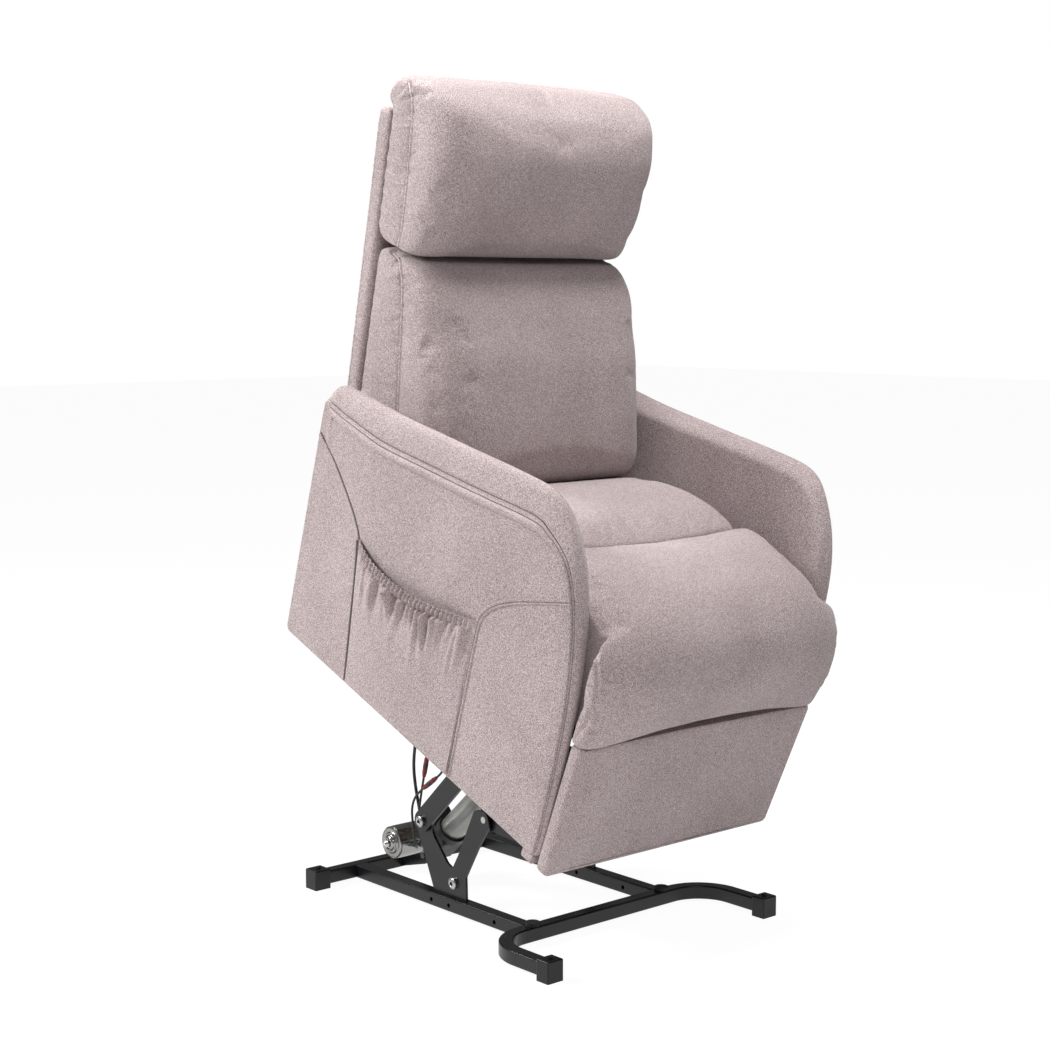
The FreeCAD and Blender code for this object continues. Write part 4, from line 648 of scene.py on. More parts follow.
class Tailor:
    """Sewn details: seams, puckers and threads on a cushion's own surface."""

    @staticmethod
    def on_surface(obj: Object, line: np.ndarray, count: int) -> np.ndarray:
        """Return a line drawn down onto a mesh, in the mesh's own metres."""
        mesh = bmesh.new()
        mesh.from_mesh(obj.data)
        tree = BVHTree.FromBMesh(mesh)
        mesh.free()
        return np.array([tree.find_nearest(Vector(point))[0][:] for point in spaced(line, count, False)])

    @staticmethod
    def nearness(points: np.ndarray, line: np.ndarray, batch: int = 20000) -> tuple[np.ndarray, np.ndarray]:
        """Return each point's distance to a line of points, and the share of the line where it is nearest."""
        away, share = np.zeros(len(points)), np.zeros(len(points))
        for start in range(0, len(points), batch):
            part = points[start:start + batch]
            gaps = np.linalg.norm(part[:, None, :] - line[None, :, :], axis=2)
            best = gaps.argmin(axis=1)
            away[start:start + batch] = gaps[np.arange(len(part)), best]
            share[start:start + batch] = best / (len(line) - 1)
        return away, share

    @staticmethod
    def press(obj: Object, across: float, points: Points, seam: Seam) -> np.ndarray:
        """Press one side's seam into a cushion, with tucks that run away from it.

        Args:
            obj: The cushion.
            across: How far across the seam runs, in millimetres, below 0 on the right.
            points: The seam's points, forward and up.
            seam: Its sizes.

        Returns:
            The seam's points on the surface, in metres.
        """
        side = 1 if across > 0 else -1
        line = rounded_line(in_chair(across, np.array(points, float)))
        places = Tailor.on_surface(obj, line, 220)
        shape, normals = Bench.points(obj), Bench.points(obj, "normal")
        away, share = Tailor.nearness(shape, places)
        draw = random.Random(seam.seed + side)
        total = np.zeros(len(shape))
        length = lengths(places).sum()
        for _ in range(seam.tucks[side > 0]):
            middle = draw.uniform(*seam.where)
            breadth = draw.uniform(2.2, 4.2) * MM / length
            run = seam.reach * MM * draw.uniform(0.5, 1.3)
            slant = draw.uniform(-0.35, 0.35) * seam.reach * MM / length
            offset = share - middle - slant * np.clip(away / run, 0, 1)
            strength = draw.uniform(0.55, 1.0) * (1 - eased(away / run)) * eased(away / (2.5 * MM) + 0.3)
            total += strength * (bell(offset, breadth) - 0.6 * bell(offset - 2 * breadth, breadth))
        drop = seam.depth * MM * bell(away, seam.width * MM) + seam.pucker * MM * total
        Bench.move(obj, shape - normals * drop[:, None])
        return places

    @staticmethod
    def thread(name: str, places: np.ndarray, radius: float, body: str, material: Material) -> Object:
        """Lay a fine raised welt or thread along a line of points, in metres."""
        rows, pitch = 8, 4.0 * MM
        line = spaced(places, max(12, int(lengths(places).sum() / pitch)), False)
        count = len(line) - 1
        along = unit(np.gradient(line, axis=0))
        side = unit(np.cross(along, np.array([1.0, 0.13, 0.09])))
        up = np.cross(side, along)

        def place(across: np.ndarray, down: np.ndarray) -> np.ndarray:
            """Wrap the grid round the line."""
            at = nearest(across, count)
            turn = down * 2 * math.pi
            size = radius * MM * np.where((at == 0) | (at == count), 0.02, 1.0)
            ring = side[at] * np.cos(turn)[:, None] + up[at] * np.sin(turn)[:, None]
            return line[at] + ring * size[:, None]

        made = Bench.skin(name, count, rows, place)
        Bench.outward(made)
        return Bench.finish(made, material, body, "cover_fabric", chair=True, sharp=80.0)


@dataclass
class Cushion:
    """A padded cushion between its side outline and its full outline, in the chair's frame.

    The two outlines are (forward, up) points in millimetres that answer each other one by one.
    """

    name: str
    half: float
    full: Points
    edge: Points
    body: str
    node: str
    fill: float
    crown: float
    roll: float
    voxel: float = 5.0
    pressure: float = 4.0
    cap: float = 8.0
    slack: float = -0.01
    frames: int = 20
    radius: float = 28.0
    hold: Shape | None = None
    limit: Shape | None = None
    warp: Shape | None = None
    obj: Object | None = field(default=None, repr=False)

    def start(self) -> None:
        """Make the closed starting shape."""
        full, edge = rounded_loop(self.full, self.radius), rounded_loop(self.edge, self.radius)
        around, across_count = len(full), 64

        def place(across: np.ndarray, down: np.ndarray) -> np.ndarray:
            """Place a vertex from its shares across the chair and round the outline."""
            turn = (across - 0.5) * math.pi
            x = self.half * np.sign(turn) * np.abs(np.sin(turn)) ** (2 / self.crown)
            swell = np.abs(np.cos(turn)) ** (2 / self.roll)
            at = nearest(down, around) % around
            outline = edge[at] + (full[at] - edge[at]) * swell[:, None]
            return in_chair(x, outline)

        self.obj = Bench.skin(self.name, across_count, around, place)

        def close() -> None:
            """Merge the ring's ends and close both sides."""
            bpy.ops.mesh.remove_doubles(threshold=0.05 * MM)
            bpy.ops.mesh.fill_holes(sides=0)
            bpy.ops.mesh.select_all(action="SELECT")
            bpy.ops.mesh.normals_make_consistent(inside=False)

        Bench.edit(self.obj, close)
        if self.warp:
            Bench.move(self.obj, self.warp(Bench.points(self.obj) / MM) * MM)

    def puff(self) -> None:
        """Fill the cushion with air as cloth, held where it is sewn or rests, and cap how far it moves."""
        obj = self.obj
        Bench.modify(obj, "REMESH", mode="VOXEL", voxel_size=self.voxel * MM, adaptivity=0.0)
        Bench.modify(obj, "SMOOTH", factor=0.5, iterations=4)
        rest = Bench.points(obj)
        held = self.hold(rest / MM) if self.hold else np.zeros(len(rest))
        group = obj.vertex_groups.new(name="sewn")
        for index in np.nonzero(held > 0.02)[0]:
            group.add([int(index)], float(held[index]), "REPLACE")
        Bench.take(obj)
        cloth = obj.modifiers.new("Cloth", "CLOTH")
        settings = {"quality": 5, "mass": 0.3, "tension_stiffness": 12.0, "compression_stiffness": 12.0,
                    "bending_stiffness": 0.8, "use_pressure": True, "uniform_pressure_force": self.pressure,
                    "shrink_min": self.slack, "vertex_group_mass": "sewn"}
        for key, value in settings.items():
            setattr(cloth.settings, key, value)
        cloth.settings.effector_weights.gravity = 0.0
        cloth.point_cache.frame_start, cloth.point_cache.frame_end = 1, self.frames
        for number in range(1, self.frames + 1):
            bpy.context.scene.frame_set(number)
        bpy.ops.object.modifier_apply(modifier=cloth.name)
        bpy.context.scene.frame_set(1)
        moved = Bench.points(obj) - rest
        size = np.linalg.norm(moved, axis=1)
        allowed = self.cap * MM
        moved *= (allowed * np.tanh(size / allowed) / np.maximum(size, 1e-9))[:, None]
        Bench.move(obj, rest + moved)
        obj.vertex_groups.clear()

    def settle(self) -> None:
        """Keep the cushion off its neighbours, and refine it once."""
        if self.limit:
            Bench.move(self.obj, self.limit(Bench.points(self.obj) / MM) * MM)
        Bench.smooth(self.obj)

    def make(self) -> Object:
        """Make, fill and settle the cushion."""
        self.start()
        self.puff()
        self.settle()
        return self.obj

    def dress(self, palette: Palette) -> None:
        """Hand the cushion over as a padded piece."""
        Bench.finish(self.obj, palette.cloth, self.body, "cover_fabric", [self.node], chair=True, sharp=75.0)


@dataclass
class BackRest:
    """The head and lumbar cushions on their upholstered shell."""

    head_half: float = 250.0
    lumbar_half: float = 248.0
    shell_half: float = 250.0

    def held(self, half: float, ups: Sequence[float], rims: Sequence[float]) -> Shape:
        """Return the hold of a cushion that rests on the shell and is sewn at its sides.

        Args:
            half: Half the cushion's width, in millimetres.
            ups: Heights along its side seams.
            rims: How far forward the seams lie there.

        Returns:
            The function that gives each place's hold, from 0 to 1.
        """
        def hold(p: np.ndarray) -> np.ndarray:
            """Hold the back face on the shell and the sewn side edges."""
            back = 1 - eased((-p[:, 1] - CHAIR.shell_front(p[:, 2]) - 3) / 10)
            rim = np.interp(p[:, 2], ups, rims)
            side = eased((np.abs(p[:, 0]) - (half - 14)) / 8) * (1 - eased(np.abs(-p[:, 1] - rim) / 12))
            return np.maximum(back, 0.9 * side)

        return hold

    def sew(self, pad: Cushion, points: Points, seam: Seam, palette: Palette) -> None:
        """Sew a cushion's side seams, each with a raised welt, and dress it."""
        for side in (-1, 1):
            places = Tailor.press(pad.obj, side * (pad.half - 3), points, seam)
            name = f"{pad.name.removesuffix('_pad')}_welt_{letter(side)}"
            Tailor.thread(name, places + np.array([side * 0.4, -0.4, 0]) * MM, 1.25, "back", palette.thread)
        pad.dress(palette)

    def head(self, palette: Palette) -> None:
        """Make the head cushion, which rolls over the shell's top."""
        full = [(-74, 746), (28, 746), (56, 762), (78, 850), (78, 945), (48, 1018), (-22, 1042), (-118, 1028),
                (-138, 1004), (-139, 978), (-116, 968)]
        edge = [(-78, 751), (-16, 752), (-12, 772), (-28, 852), (-48, 938), (-68, 1000), (-86, 1018),
                (-118, 1012), (-130, 998), (-134, 978), (-116, 972)]

        def limit(p: np.ndarray) -> np.ndarray:
            """Keep off the shell and the lumbar cushion."""
            p[:, 2] = np.maximum(p[:, 2], 743.6 + 0.00008 * p[:, 0] ** 2)
            under = p[:, 2] < 966
            p[:, 1] = np.where(under, np.minimum(p[:, 1], -CHAIR.shell_front(p[:, 2]) - 0.5), p[:, 1])
            return p

        hold = self.held(self.head_half, [752, 772, 852, 938, 1000], [-14, -12, -28, -48, -68])
        pad = Cushion("head_pad", self.head_half, full, edge, "back", "head_cushion", 0.8, 9.0, 3.2,
                      cap=4.5, hold=hold, limit=limit)
        pad.make()
        self.sew(pad, [(-16, 750), (-12, 776), (-28, 852), (-48, 938), (-68, 1000), (-92, 1020)],
                 Seam(3.2, 4.0, 2.2, 62.0, (13, 8), 3, (0.35, 0.98)), palette)

    def lumbar(self, palette: Palette) -> None:
        """Make the lumbar cushion, deepest at the seat."""
        full = [(-10, 404), (250, 400), (268, 436), (236, 514), (182, 622), (122, 704), (60, 741), (-68, 741)]
        edge = [(-14, 420), (104, 424), (102, 458), (84, 513), (50, 617), (22, 700), (6, 732), (-68, 734)]

        def limit(p: np.ndarray) -> np.ndarray:
            """Keep off the shell, the head cushion and the arms."""
            p[:, 2] = np.minimum(p[:, 2], 742.4 + 0.00008 * p[:, 0] ** 2)
            p[:, 1] = np.minimum(p[:, 1], -CHAIR.shell_front(p[:, 2]) - 0.5)
            wide = CHAIR.arm_inner(p[:, 2]) - 1.0
            p[:, 0] = np.where(p[:, 2] < 560, np.clip(p[:, 0], -wide, wide), p[:, 0])
            return p

        hold = self.held(self.lumbar_half, [458, 513, 617, 700], [102, 84, 50, 22])
        pad = Cushion("lumbar_pad", self.lumbar_half, full, edge, "back", "lumbar_cushion", 0.8, 9.0, 3.2,
                      cap=5.0, hold=hold, limit=limit)
        pad.make()
        self.sew(pad, [(104, 440), (99, 470), (82, 518), (50, 617), (22, 698), (0, 730), (-30, 741)],
                 Seam(3.0, 4.0, 1.9, 60.0, (10, 7), 9, (0.6, 0.98)), palette)

    def shell(self, palette: Palette) -> None:
        """Make the upholstered shell with its outside back panel."""
        half, low, high, thick = self.shell_half, CHAIR.shell_low, 960.0, CHAIR.shell
        made = Bench.block("back_shell_cover", (-half, -0.5 * thick, low), (half, 0.5 * thick, high), 15.0, 5)
        Bench.refine(made, 12)
        p = Bench.points(made) / MM
        full = dome(p[:, 0], half, 2.5) * dome(p[:, 2] - (low + high) / 2, (high - low) / 2, 4)
        p[:, 1] = p[:, 1] + 4.0 * full * eased((p[:, 1] - 8) / 10) - (CHAIR.shell_back(p[:, 2]) + thick / 2)
        Bench.move(made, p * MM)
        Bench.finish(made, palette.cloth, "back", "cover_fabric", ["back_shell"], chair=True, sharp=50.0)
        up = np.linspace(low + 8, high - 18, 30)
        for side in (-1, 1):
            line = in_chair(side * (half - 1.2), np.stack([CHAIR.shell_back(up) + 7.5, up], axis=1))
            Tailor.thread(f"shell_welt_{letter(side)}", line, 2.0, "back", palette.thread)

    def build(self, palette: Palette) -> None:
        """Make all of the back rest."""
        self.shell(palette)
        self.lumbar(palette)
        self.head(palette)


@dataclass
class SeatPads:
    """The seat cushion and the wide front roll."""

    seat_half: float = 252.0
    roll_half: float = 292.0
    neck_half: float = 256.0
    arm_front: float = 724.0
    split: float = 523.0
    bow: float = 25.0
    bow_start: float = 300.0
    bow_reach: float = 170.0
    frame_top: float = 240.5
    bracket_top: float = 223.0
    ear_low: float = 215.5
    lip_low: float = 207.0

    def bowed(self, p: np.ndarray) -> np.ndarray:
        """Bow the cross seam back towards the sides."""
        forward = -p[:, 1]
        behind = eased((forward - self.bow_start) / (self.split - self.bow_start))
        share = np.where(forward < self.split, behind, 1 - eased((forward - self.split) / self.bow_reach))
        p[:, 1] += self.bow * (np.abs(p[:, 0]) / self.seat_half) ** 2 * share
        return p

    def seam_at(self, x: np.ndarray) -> np.ndarray:
        """Return how far forward the cross seam lies at a place across."""
        return self.split - self.bow * (np.abs(x) / self.seat_half) ** 2

    def cushion(self, palette: Palette) -> None:
        """Make the seat cushion."""
        full = [(24, 246), (517, 246), (521, 400), (519, 438), (470, 449), (400, 448), (330, 438), (282, 422),
                (256, 396), (24, 378)]
        edge = [(24, 252), (513, 252), (519, 388), (517, 416), (470, 424), (400, 424), (330, 415), (282, 404),
                (256, 386), (24, 370)]

        def hold(p: np.ndarray) -> np.ndarray:
            """Hold the bottom and the cross seam."""
            low = 1 - eased((p[:, 2] - 250) / 20)
            seam = eased((-p[:, 1] - self.seam_at(p[:, 0]) + 12) / 6)
            return np.maximum(low, 0.85 * seam)

        def limit(p: np.ndarray) -> np.ndarray:
            """Keep off the arms, the frame and the front roll."""
            p[:, 0] = np.clip(p[:, 0], -253.8, 253.8)
            p[:, 2] = np.maximum(p[:, 2], self.frame_top)
            p[:, 1] = np.maximum(p[:, 1], -self.seam_at(p[:, 0]) + 0.4)
            p[:, 1] = np.minimum(p[:, 1], -20.5)
            return p

        pad = Cushion("seat_pad", self.seat_half, full, edge, "chair", "seat_cushion", 0.85, 7.0, 2.4,
                      hold=hold, limit=limit, warp=self.bowed, radius=26.0)
        pad.make()
        pad.dress(palette)

    def widened(self, p: np.ndarray) -> np.ndarray:
        """Narrow the roll between the arms, give it ears in front of them, and bow its seam."""
        forward = -p[:, 1]
        ears = self.roll_half - 7.0 - 7.0 * (1 - eased((p[:, 2] - 232) / 120))
        wide = self.neck_half + (ears - self.neck_half) * eased((forward - self.arm_front + 6) / 26)
        p[:, 0] *= wide / self.roll_half
        middle = dome(p[:, 0], 280, 2)
        p[:, 2] += (28.0 * middle - 7.0) * eased((forward - 750) / 14) * (1 - eased((p[:, 2] - 222) / 70))
        p[:, 2] -= 9.0 * (1 - middle) ** 2 * eased((forward - 722) / 16) * (1 - eased((p[:, 2] - 222) / 60))
        p[:, 1] += 20.0 * np.clip(np.abs(p[:, 0]) / 290, 0, 1) ** 5 * eased((forward - 700) / 50)
        return self.bowed(p)

    def roll(self, palette: Palette) -> None:
        """Make the front roll, which widens in front of the arms."""
        full = [(527, 246), (640, 246), (646, 231), (728, 228), (756, 216), (784, 224), (794, 300),
                (783, 362), (752, 410), (696, 443), (612, 458), (550, 453), (527, 440)]
        edge = [(527, 252), (640, 252), (648, 234), (728, 229), (752, 218), (766, 226), (772, 300),
                (760, 354), (730, 392), (674, 416), (596, 426), (550, 428), (527, 414)]

        def hold(p: np.ndarray) -> np.ndarray:
            """Hold the bottom and the cross seam."""
            low = 1 - eased((p[:, 2] - 238) / 12)
            seam = eased((self.seam_at(p[:, 0]) + 14 + p[:, 1]) / 6)
            return np.maximum(low, 0.85 * seam)

        def limit(p: np.ndarray) -> np.ndarray:
            """Keep off the arms, the frame, the footrest and the seat cushion."""
            forward = -p[:, 1]
            wide = 258 + 46 * eased((forward - self.arm_front) / 14)
            p[:, 0] = np.clip(p[:, 0], -wide, wide)
            under = np.where(np.abs(p[:, 0]) > 225, self.ear_low, self.bracket_top)
            under = np.where(forward < 641, self.frame_top, np.where(forward < 762, under, self.lip_low))
            p[:, 2] = np.maximum(p[:, 2], under)
            p[:, 1] = np.minimum(p[:, 1], -self.seam_at(p[:, 0]) - 0.4)
            return p

        pad = Cushion("front_roll", self.roll_half, full, edge, "chair", "seat_roll", 0.85, 8.0, 2.6, cap=7.0,
                      hold=hold, limit=limit, warp=self.widened, radius=40.0)
        pad.make()
        line = [(742, 234), (760, 262), (768, 300), (764, 336), (748, 366), (726, 388)]
        for side in (-1, 1):
            Tailor.press(pad.obj, side * 298, line, Seam(2.6, 3.5, 1.7, 40.0, (9, 9), 21, (0.0, 0.9)))
        pad.dress(palette)

    def build(self, palette: Palette) -> None:
        """Make both pads."""
        self.cushion(palette)
        self.roll(palette)


@dataclass(frozen=True)
class Rim:
    """An arm's outline by stations: places, outward ways, how far they face up and ahead, and drops."""

    loop: np.ndarray
    away: np.ndarray
    up: np.ndarray
    front: np.ndarray
    drop: np.ndarray


@dataclass
class Arm:
    """One upholstered arm: a leaning panel, a felled double seam, a padded crown and a thin front lip."""

    side: int
    crest: float = 23.0
    lip: float = 8.0
    ridge_width: float = 17.0
    stations: int = 340
    fullness: float = 3.0
    stitch_share: float = 0.073
    rear_seam: Points = ((8, 410), (62, 379), (118, 332), (150, 299), (165, 274), (176, 195), (184, 110),
                         (191, 30), (194, 4))
    front_seam: Points = ((490, -6), (490, 60), (489, 170), (487, 262), (487, 300), (497, 324), (520, 350),
                          (560, 378), (625, 413), (668, 436))
    pocket_edge: Points = ((163, 277), (170, 240), (176, 195), (184, 110), (191, 30), (193, 6))

    def outline(self) -> np.ndarray:
        """Return the outer seam's closed outline, forward and up."""
        points = [(5, 20), (5, 4), (24, 3), (152, -1), (305, -5), (458, -10), (610, -15), (700, -18),
                  (718, -19), (722, -2), (721, 65), (718, 178), (712, 268), (702, 329), (690, 389),
                  (677, 432), (662, 468), (642, 503), (617, 532), (594, 550), (566, 559), (530, 557),
                  (487, 551), (429, 542), (366, 531), (282, 518), (198, 504), (114, 494), (34, 486),
                  (10, 483), (5, 466), (5, 380), (5, 250), (5, 120)]
        return spaced(rounded_loop(points[::-1], 40.0), self.stations, True)

    def rim(self) -> Rim:
        """Return the outline with its ways and with the drop of the crown's outer edge below it."""
        loop = self.outline()
        ahead = unit(np.roll(loop, -1, axis=0) - np.roll(loop, 1, axis=0))
        away = np.stack([-ahead[:, 1], ahead[:, 0]], axis=1)
        if (away * (loop - loop.mean(axis=0))).sum() < 0:
            away = -away
        up, front = np.maximum(away[:, 1], 0) ** 2, np.maximum(away[:, 0], 0) ** 2
        places, depths = [10, 60, 160, 450, 560, 620, 660, 690, 705], [14, 24, 36, 39, 36, 29, 19, 8, 0]
        return Rim(loop, away, up, front, np.interp(loop[:, 0], places, depths) * eased(1.6 * up - 0.1))

    def rows(self) -> list[tuple[Row, float, float]]:
        """Return the rows of the skin from the outer panel over the crown to the inner face.

        Each is its kind, its place (a share, or millimetres from the seam) and its rise.
        """
        wide = [0.05, 0.12, 0.2, 0.3, 0.42, 0.55, 0.7, 0.85, 1.0]
        ridge = [(26.0, 0.2), (21.0, 0.0), (18.0, -1.8), (16.4, -1.0), (14.6, 3.0), (11.5, 6.0), (8.0, 7.0),
                 (4.6, 6.0), (2.6, 3.8), (1.5, 0.4), (0.6, 0.2), (-0.6, 1.9)]
        top = [(0.02, 0.0), (0.04, 0.0), (0.058, 0.0), (0.068, -1.8), (0.078, -1.6)]
        over = [0.09, 0.115, 0.15, 0.19, 0.24, 0.3, 0.37, 0.45, 0.54, 0.63, 0.72, 0.8, 0.88, 0.94]
        top += [(share, 1.0) for share in over]
        panel, inner = [(share, 0.0) for share in wide], [(value, 0.0) for value in (0.0, 8.0, 20.0)]
        runs = ((Row.OUTER, panel[::-1]), (Row.BAND, ridge), (Row.TOP, top), (Row.INNER_BAND, inner),
                (Row.INNER, panel))
        return [(kind, *row) for kind, run in runs for row in run]

    @staticmethod
    def crowned(share: float, height: np.ndarray, rise: Value, drop: np.ndarray) -> np.ndarray:
        """Return how far the crown stands off the outline, at a share of the way over it."""
        return height * math.sin(math.pi * share) ** 0.82 + rise - drop * math.cos(0.5 * math.pi * share) ** 8

    def body(self) -> Object:
        """Make the arm's closed skin."""
        rim = self.rim()
        loop, away, up = rim.loop, rim.away, rim.up
        down, rear = np.maximum(-away[:, 1], 0) ** 2, np.maximum(-away[:, 0], 0) ** 2
        height = self.crest * up + self.lip * rim.front + 4.0 * rear + 2.0 * down
        sewn = np.clip(up + rim.front, 0, 1) ** 2
        width = (self.ridge_width * (0.45 * rim.front + up) + 12.0 * (rear + down)) / self.ridge_width
        knots = np.linspace(0, 1, 41)
        spine = np.stack([60 + knots * 560, 226 + knots * 42], axis=1)
        root = spine[np.linalg.norm(loop[:, None, :] - spine[None, :, :], axis=2).argmin(axis=1)]
        rows = self.rows()
        last = len(rows) - 1

        def row_at(kind: Row, value: float, rise: float, at: np.ndarray) -> np.ndarray:
            """Return one row's places at its stations."""
            low = rim.drop[at] if kind in (Row.OUTER, Row.BAND) else 0 * rim.drop[at]
            if kind in (Row.OUTER, Row.INNER):
                start = loop[at] - away[at] * (low + 26.0 * width[at])[:, None]
                flat = start + (root[at] - start) * value
            elif kind is Row.TOP:
                swell = self.crowned(value, height[at], rise * sewn[at], rim.drop[at])
                flat = loop[at] + away[at] * swell[:, None]
            else:
                flat = loop[at] - away[at] * (low + value * width[at])[:, None]
            x = CHAIR.panel(flat[:, 0], flat[:, 1])
            thick = x - CHAIR.arm_inner(flat[:, 1])
            if kind is Row.OUTER:
                x = x + self.fullness * (1 - (1 - value) ** 2)
            elif kind is Row.BAND:
                x = x + rise * sewn[at] * (0.55 + 0.45 * up[at])
            elif kind is Row.TOP:
                x = x - thick * (0.5 * value + 0.5 * value ** 2) + 0.7 * rise * sewn[at]
            else:
                x = x - thick + 0.6
            return in_chair(self.side * x, flat)

        def place(across: np.ndarray, down_share: np.ndarray) -> np.ndarray:
            """Place a vertex from its station round the outline and its row from outside to inside."""
            at, row = nearest(across, self.stations) % self.stations, nearest(down_share, last)
            out = np.zeros((len(at), 3))
            for number, (kind, value, rise) in enumerate(rows):
                chosen = row == number
                out[chosen] = row_at(kind, value, rise, at[chosen])
            return out

        made = Bench.skin(f"arm_cover_{letter(self.side)}", self.stations, last, place)
        Bench.outward(made)
        return Bench.smooth(made)

    def strip(self, name: str, line: Points, section: Points, material: Material) -> Object:
        """Lay a sewn strip, or a thin dark strip of painted seam shadow, on the outer panel.

        Args:
            name: The strip's name.
            line: The seam's points, forward and up.
            section: The strip's profile as (beside the seam, above the panel) in millimetres.
            material: Its finish.

        Returns:
            The strip.
        """
        path = rounded_line(line)
        path = spaced(path, max(10, int(lengths(path).sum() / 4)), False)
        along = unit(np.gradient(path, axis=0))
        beside = np.stack([-along[:, 1], along[:, 0]], axis=1)
        offsets, rises = np.array(section, float).T
        count, last = len(path) - 1, len(offsets) - 1

        def place(across: np.ndarray, down: np.ndarray) -> np.ndarray:
            """Place the strip's vertices along the seam."""
            at, row = nearest(across, count), nearest(down, last)
            flat = path[at] + beside[at] * offsets[row][:, None]
            x = CHAIR.panel(flat[:, 0], flat[:, 1]) + self.fullness * self.puffed(flat) + rises[row]
            return in_chair(self.side * x, flat)

        made = Bench.skin(name, count, last, place)
        Bench.modify(made, "SOLIDIFY", thickness=1.2 * MM, offset=-1.0 * self.side)
        Bench.outward(made)
        return Bench.finish(made, material, "chair", "cover_fabric", chair=True, sharp=60.0)

    def puffed(self, flat: np.ndarray) -> np.ndarray:
        """Return the share of the panel's fullness at places on it."""
        loop = self.outline()
        away = np.linalg.norm(flat[:, None, :] - loop[None, :, :], axis=2).min(axis=1)
        return 1 - (1 - np.clip((away - 26) / 210, 0, 1)) ** 2

    def stitches(self, palette: Palette) -> None:
        """Lay the two rows of stitches that run along the crown and down the front edge, drawn near-black as
        painted shade in their grooves.
        """
        rim = self.rim()
        sewn = rim.up + rim.front > 0.5
        start = int(np.argmax(sewn & ~np.roll(sewn, 1)))
        order = np.roll(np.arange(len(sewn)), -start)[:int(sewn.sum())]
        order = order[sewn[order]]
        base, normal, up, drop = rim.loop[order], rim.away[order], rim.up[order], rim.drop[order]
        height = self.crest * up + self.lip * (1 - up)
        low = base - normal * (drop + 1.0)[:, None]
        high = base + normal * self.crowned(self.stitch_share, height, -1.2, drop)[:, None]
        for number, (flat, share, out) in enumerate(((low, 0.0, 0.7), (high, 0.039, -0.5))):
            face = CHAIR.panel(flat[:, 0], flat[:, 1])
            x = face - (face - CHAIR.arm_inner(flat[:, 1])) * share + out
            # Real stitch rows, drawn in the near-black shade cloth as painted shade in their grooves.
            Tailor.thread(f"crown_stitch_{letter(self.side)}_{number}", in_chair(self.side * x, flat), 0.42,
                          "chair", palette.shade)

    def lug(self, palette: Palette) -> None:
        """Make the small rounded cloth tab under the panel's front corner."""
        forward, up, half = 706.0, -27.0, np.array([10.0, 15.0, 9.0])
        made = Bench.block(f"front_tab_{letter(self.side)}", -half, half, 6.0, 5)
        middle = np.array([self.side * (CHAIR.panel(forward, -24) - 9.5), -forward, up])
        Bench.move(made, (Bench.points(made) / MM + middle) * MM)
        Bench.finish(made, palette.cloth, "chair", "cover_fabric", chair=True, sharp=60.0)

    def build(self, palette: Palette) -> None:
        """Make the arm with its sewn seams."""
        suffix = letter(self.side)
        made = self.body()
        Bench.finish(made, palette.cloth, "chair", "cover_fabric", ["arm_" + suffix], chair=True, sharp=60.0)
        fold = [(-7.0, -0.9), (-5.5, 0.3), (-3.0, 1.1), (-0.9, 1.3), (-0.2, 0.2), (0.3, -0.9)]
        # Profile of a dark strip of painted shadow along the rear seam's fold.
        shadow = [(-0.3, 0.2), (0.5, 0.5), (1.3, 0.45), (1.9, -0.6)]
        felled = [(-5.0, -0.9), (-4.2, 0.6), (-2.6, 1.3), (-1.3, 0.6), (0.0, 0.45), (1.3, 0.7), (2.6, 1.5),
                  (4.2, 0.8), (5.0, -0.9)]
        # Profile of a dark strip of painted shade in the front seam's groove.
        groove_shadow = [(-0.6, 0.2), (-0.3, 0.75), (0.3, 0.75), (0.6, 0.2)]
        self.strip("rear_seam_" + suffix, self.rear_seam, fold, palette.cloth)
        # Painted shadow line: a near-black strip along the rear seam.
        self.strip("rear_seam_line_" + suffix, self.rear_seam, shadow, palette.shade)
        self.strip("front_seam_" + suffix, self.front_seam, felled, palette.cloth)
        # Painted shade: a near-black strip in the front seam's groove.
        self.strip("front_seam_line_" + suffix, self.front_seam, groove_shadow, palette.shade)
        if self.side < 0:
            # Painted shadow line: a near-black strip along the pocket's rear edge.
            edge = [(-1.0, 4.4), (-0.4, 5.9), (0.4, 5.9), (1.0, 4.4)]
            self.strip("pocket_edge_shadow_line", self.pocket_edge, edge, palette.shade)
        self.stitches(palette)
        self.lug(palette)


@dataclass
class RearPanel:
    """The cloth-covered board that closes the chair's back."""

    half: float = 250.2
    low: float = 25.6
    high: float = 285.0
    thick: float = 18.0

    def build(self, palette: Palette) -> None:
        """Make the panel, a little full behind."""
        made = Bench.block("rear_panel_cover", (-self.half, -2.0 - self.thick, self.low),
                           (self.half, 0.0, self.high), 4.0, 4)
        Bench.refine(made, 10)
        p = Bench.points(made) / MM
        middle, reach = (self.low + self.high) / 2, (self.high - self.low) / 2
        full = 5.0 * dome(p[:, 0], self.half, 3) * dome(p[:, 2] - middle, reach, 3)
        p[:, 1] += full * eased((p[:, 1] + 6) / 5)
        Bench.move(made, p * MM)
        Bench.finish(made, palette.cloth, "chair", "cover_fabric", ["rear_board"], chair=True, sharp=50.0)


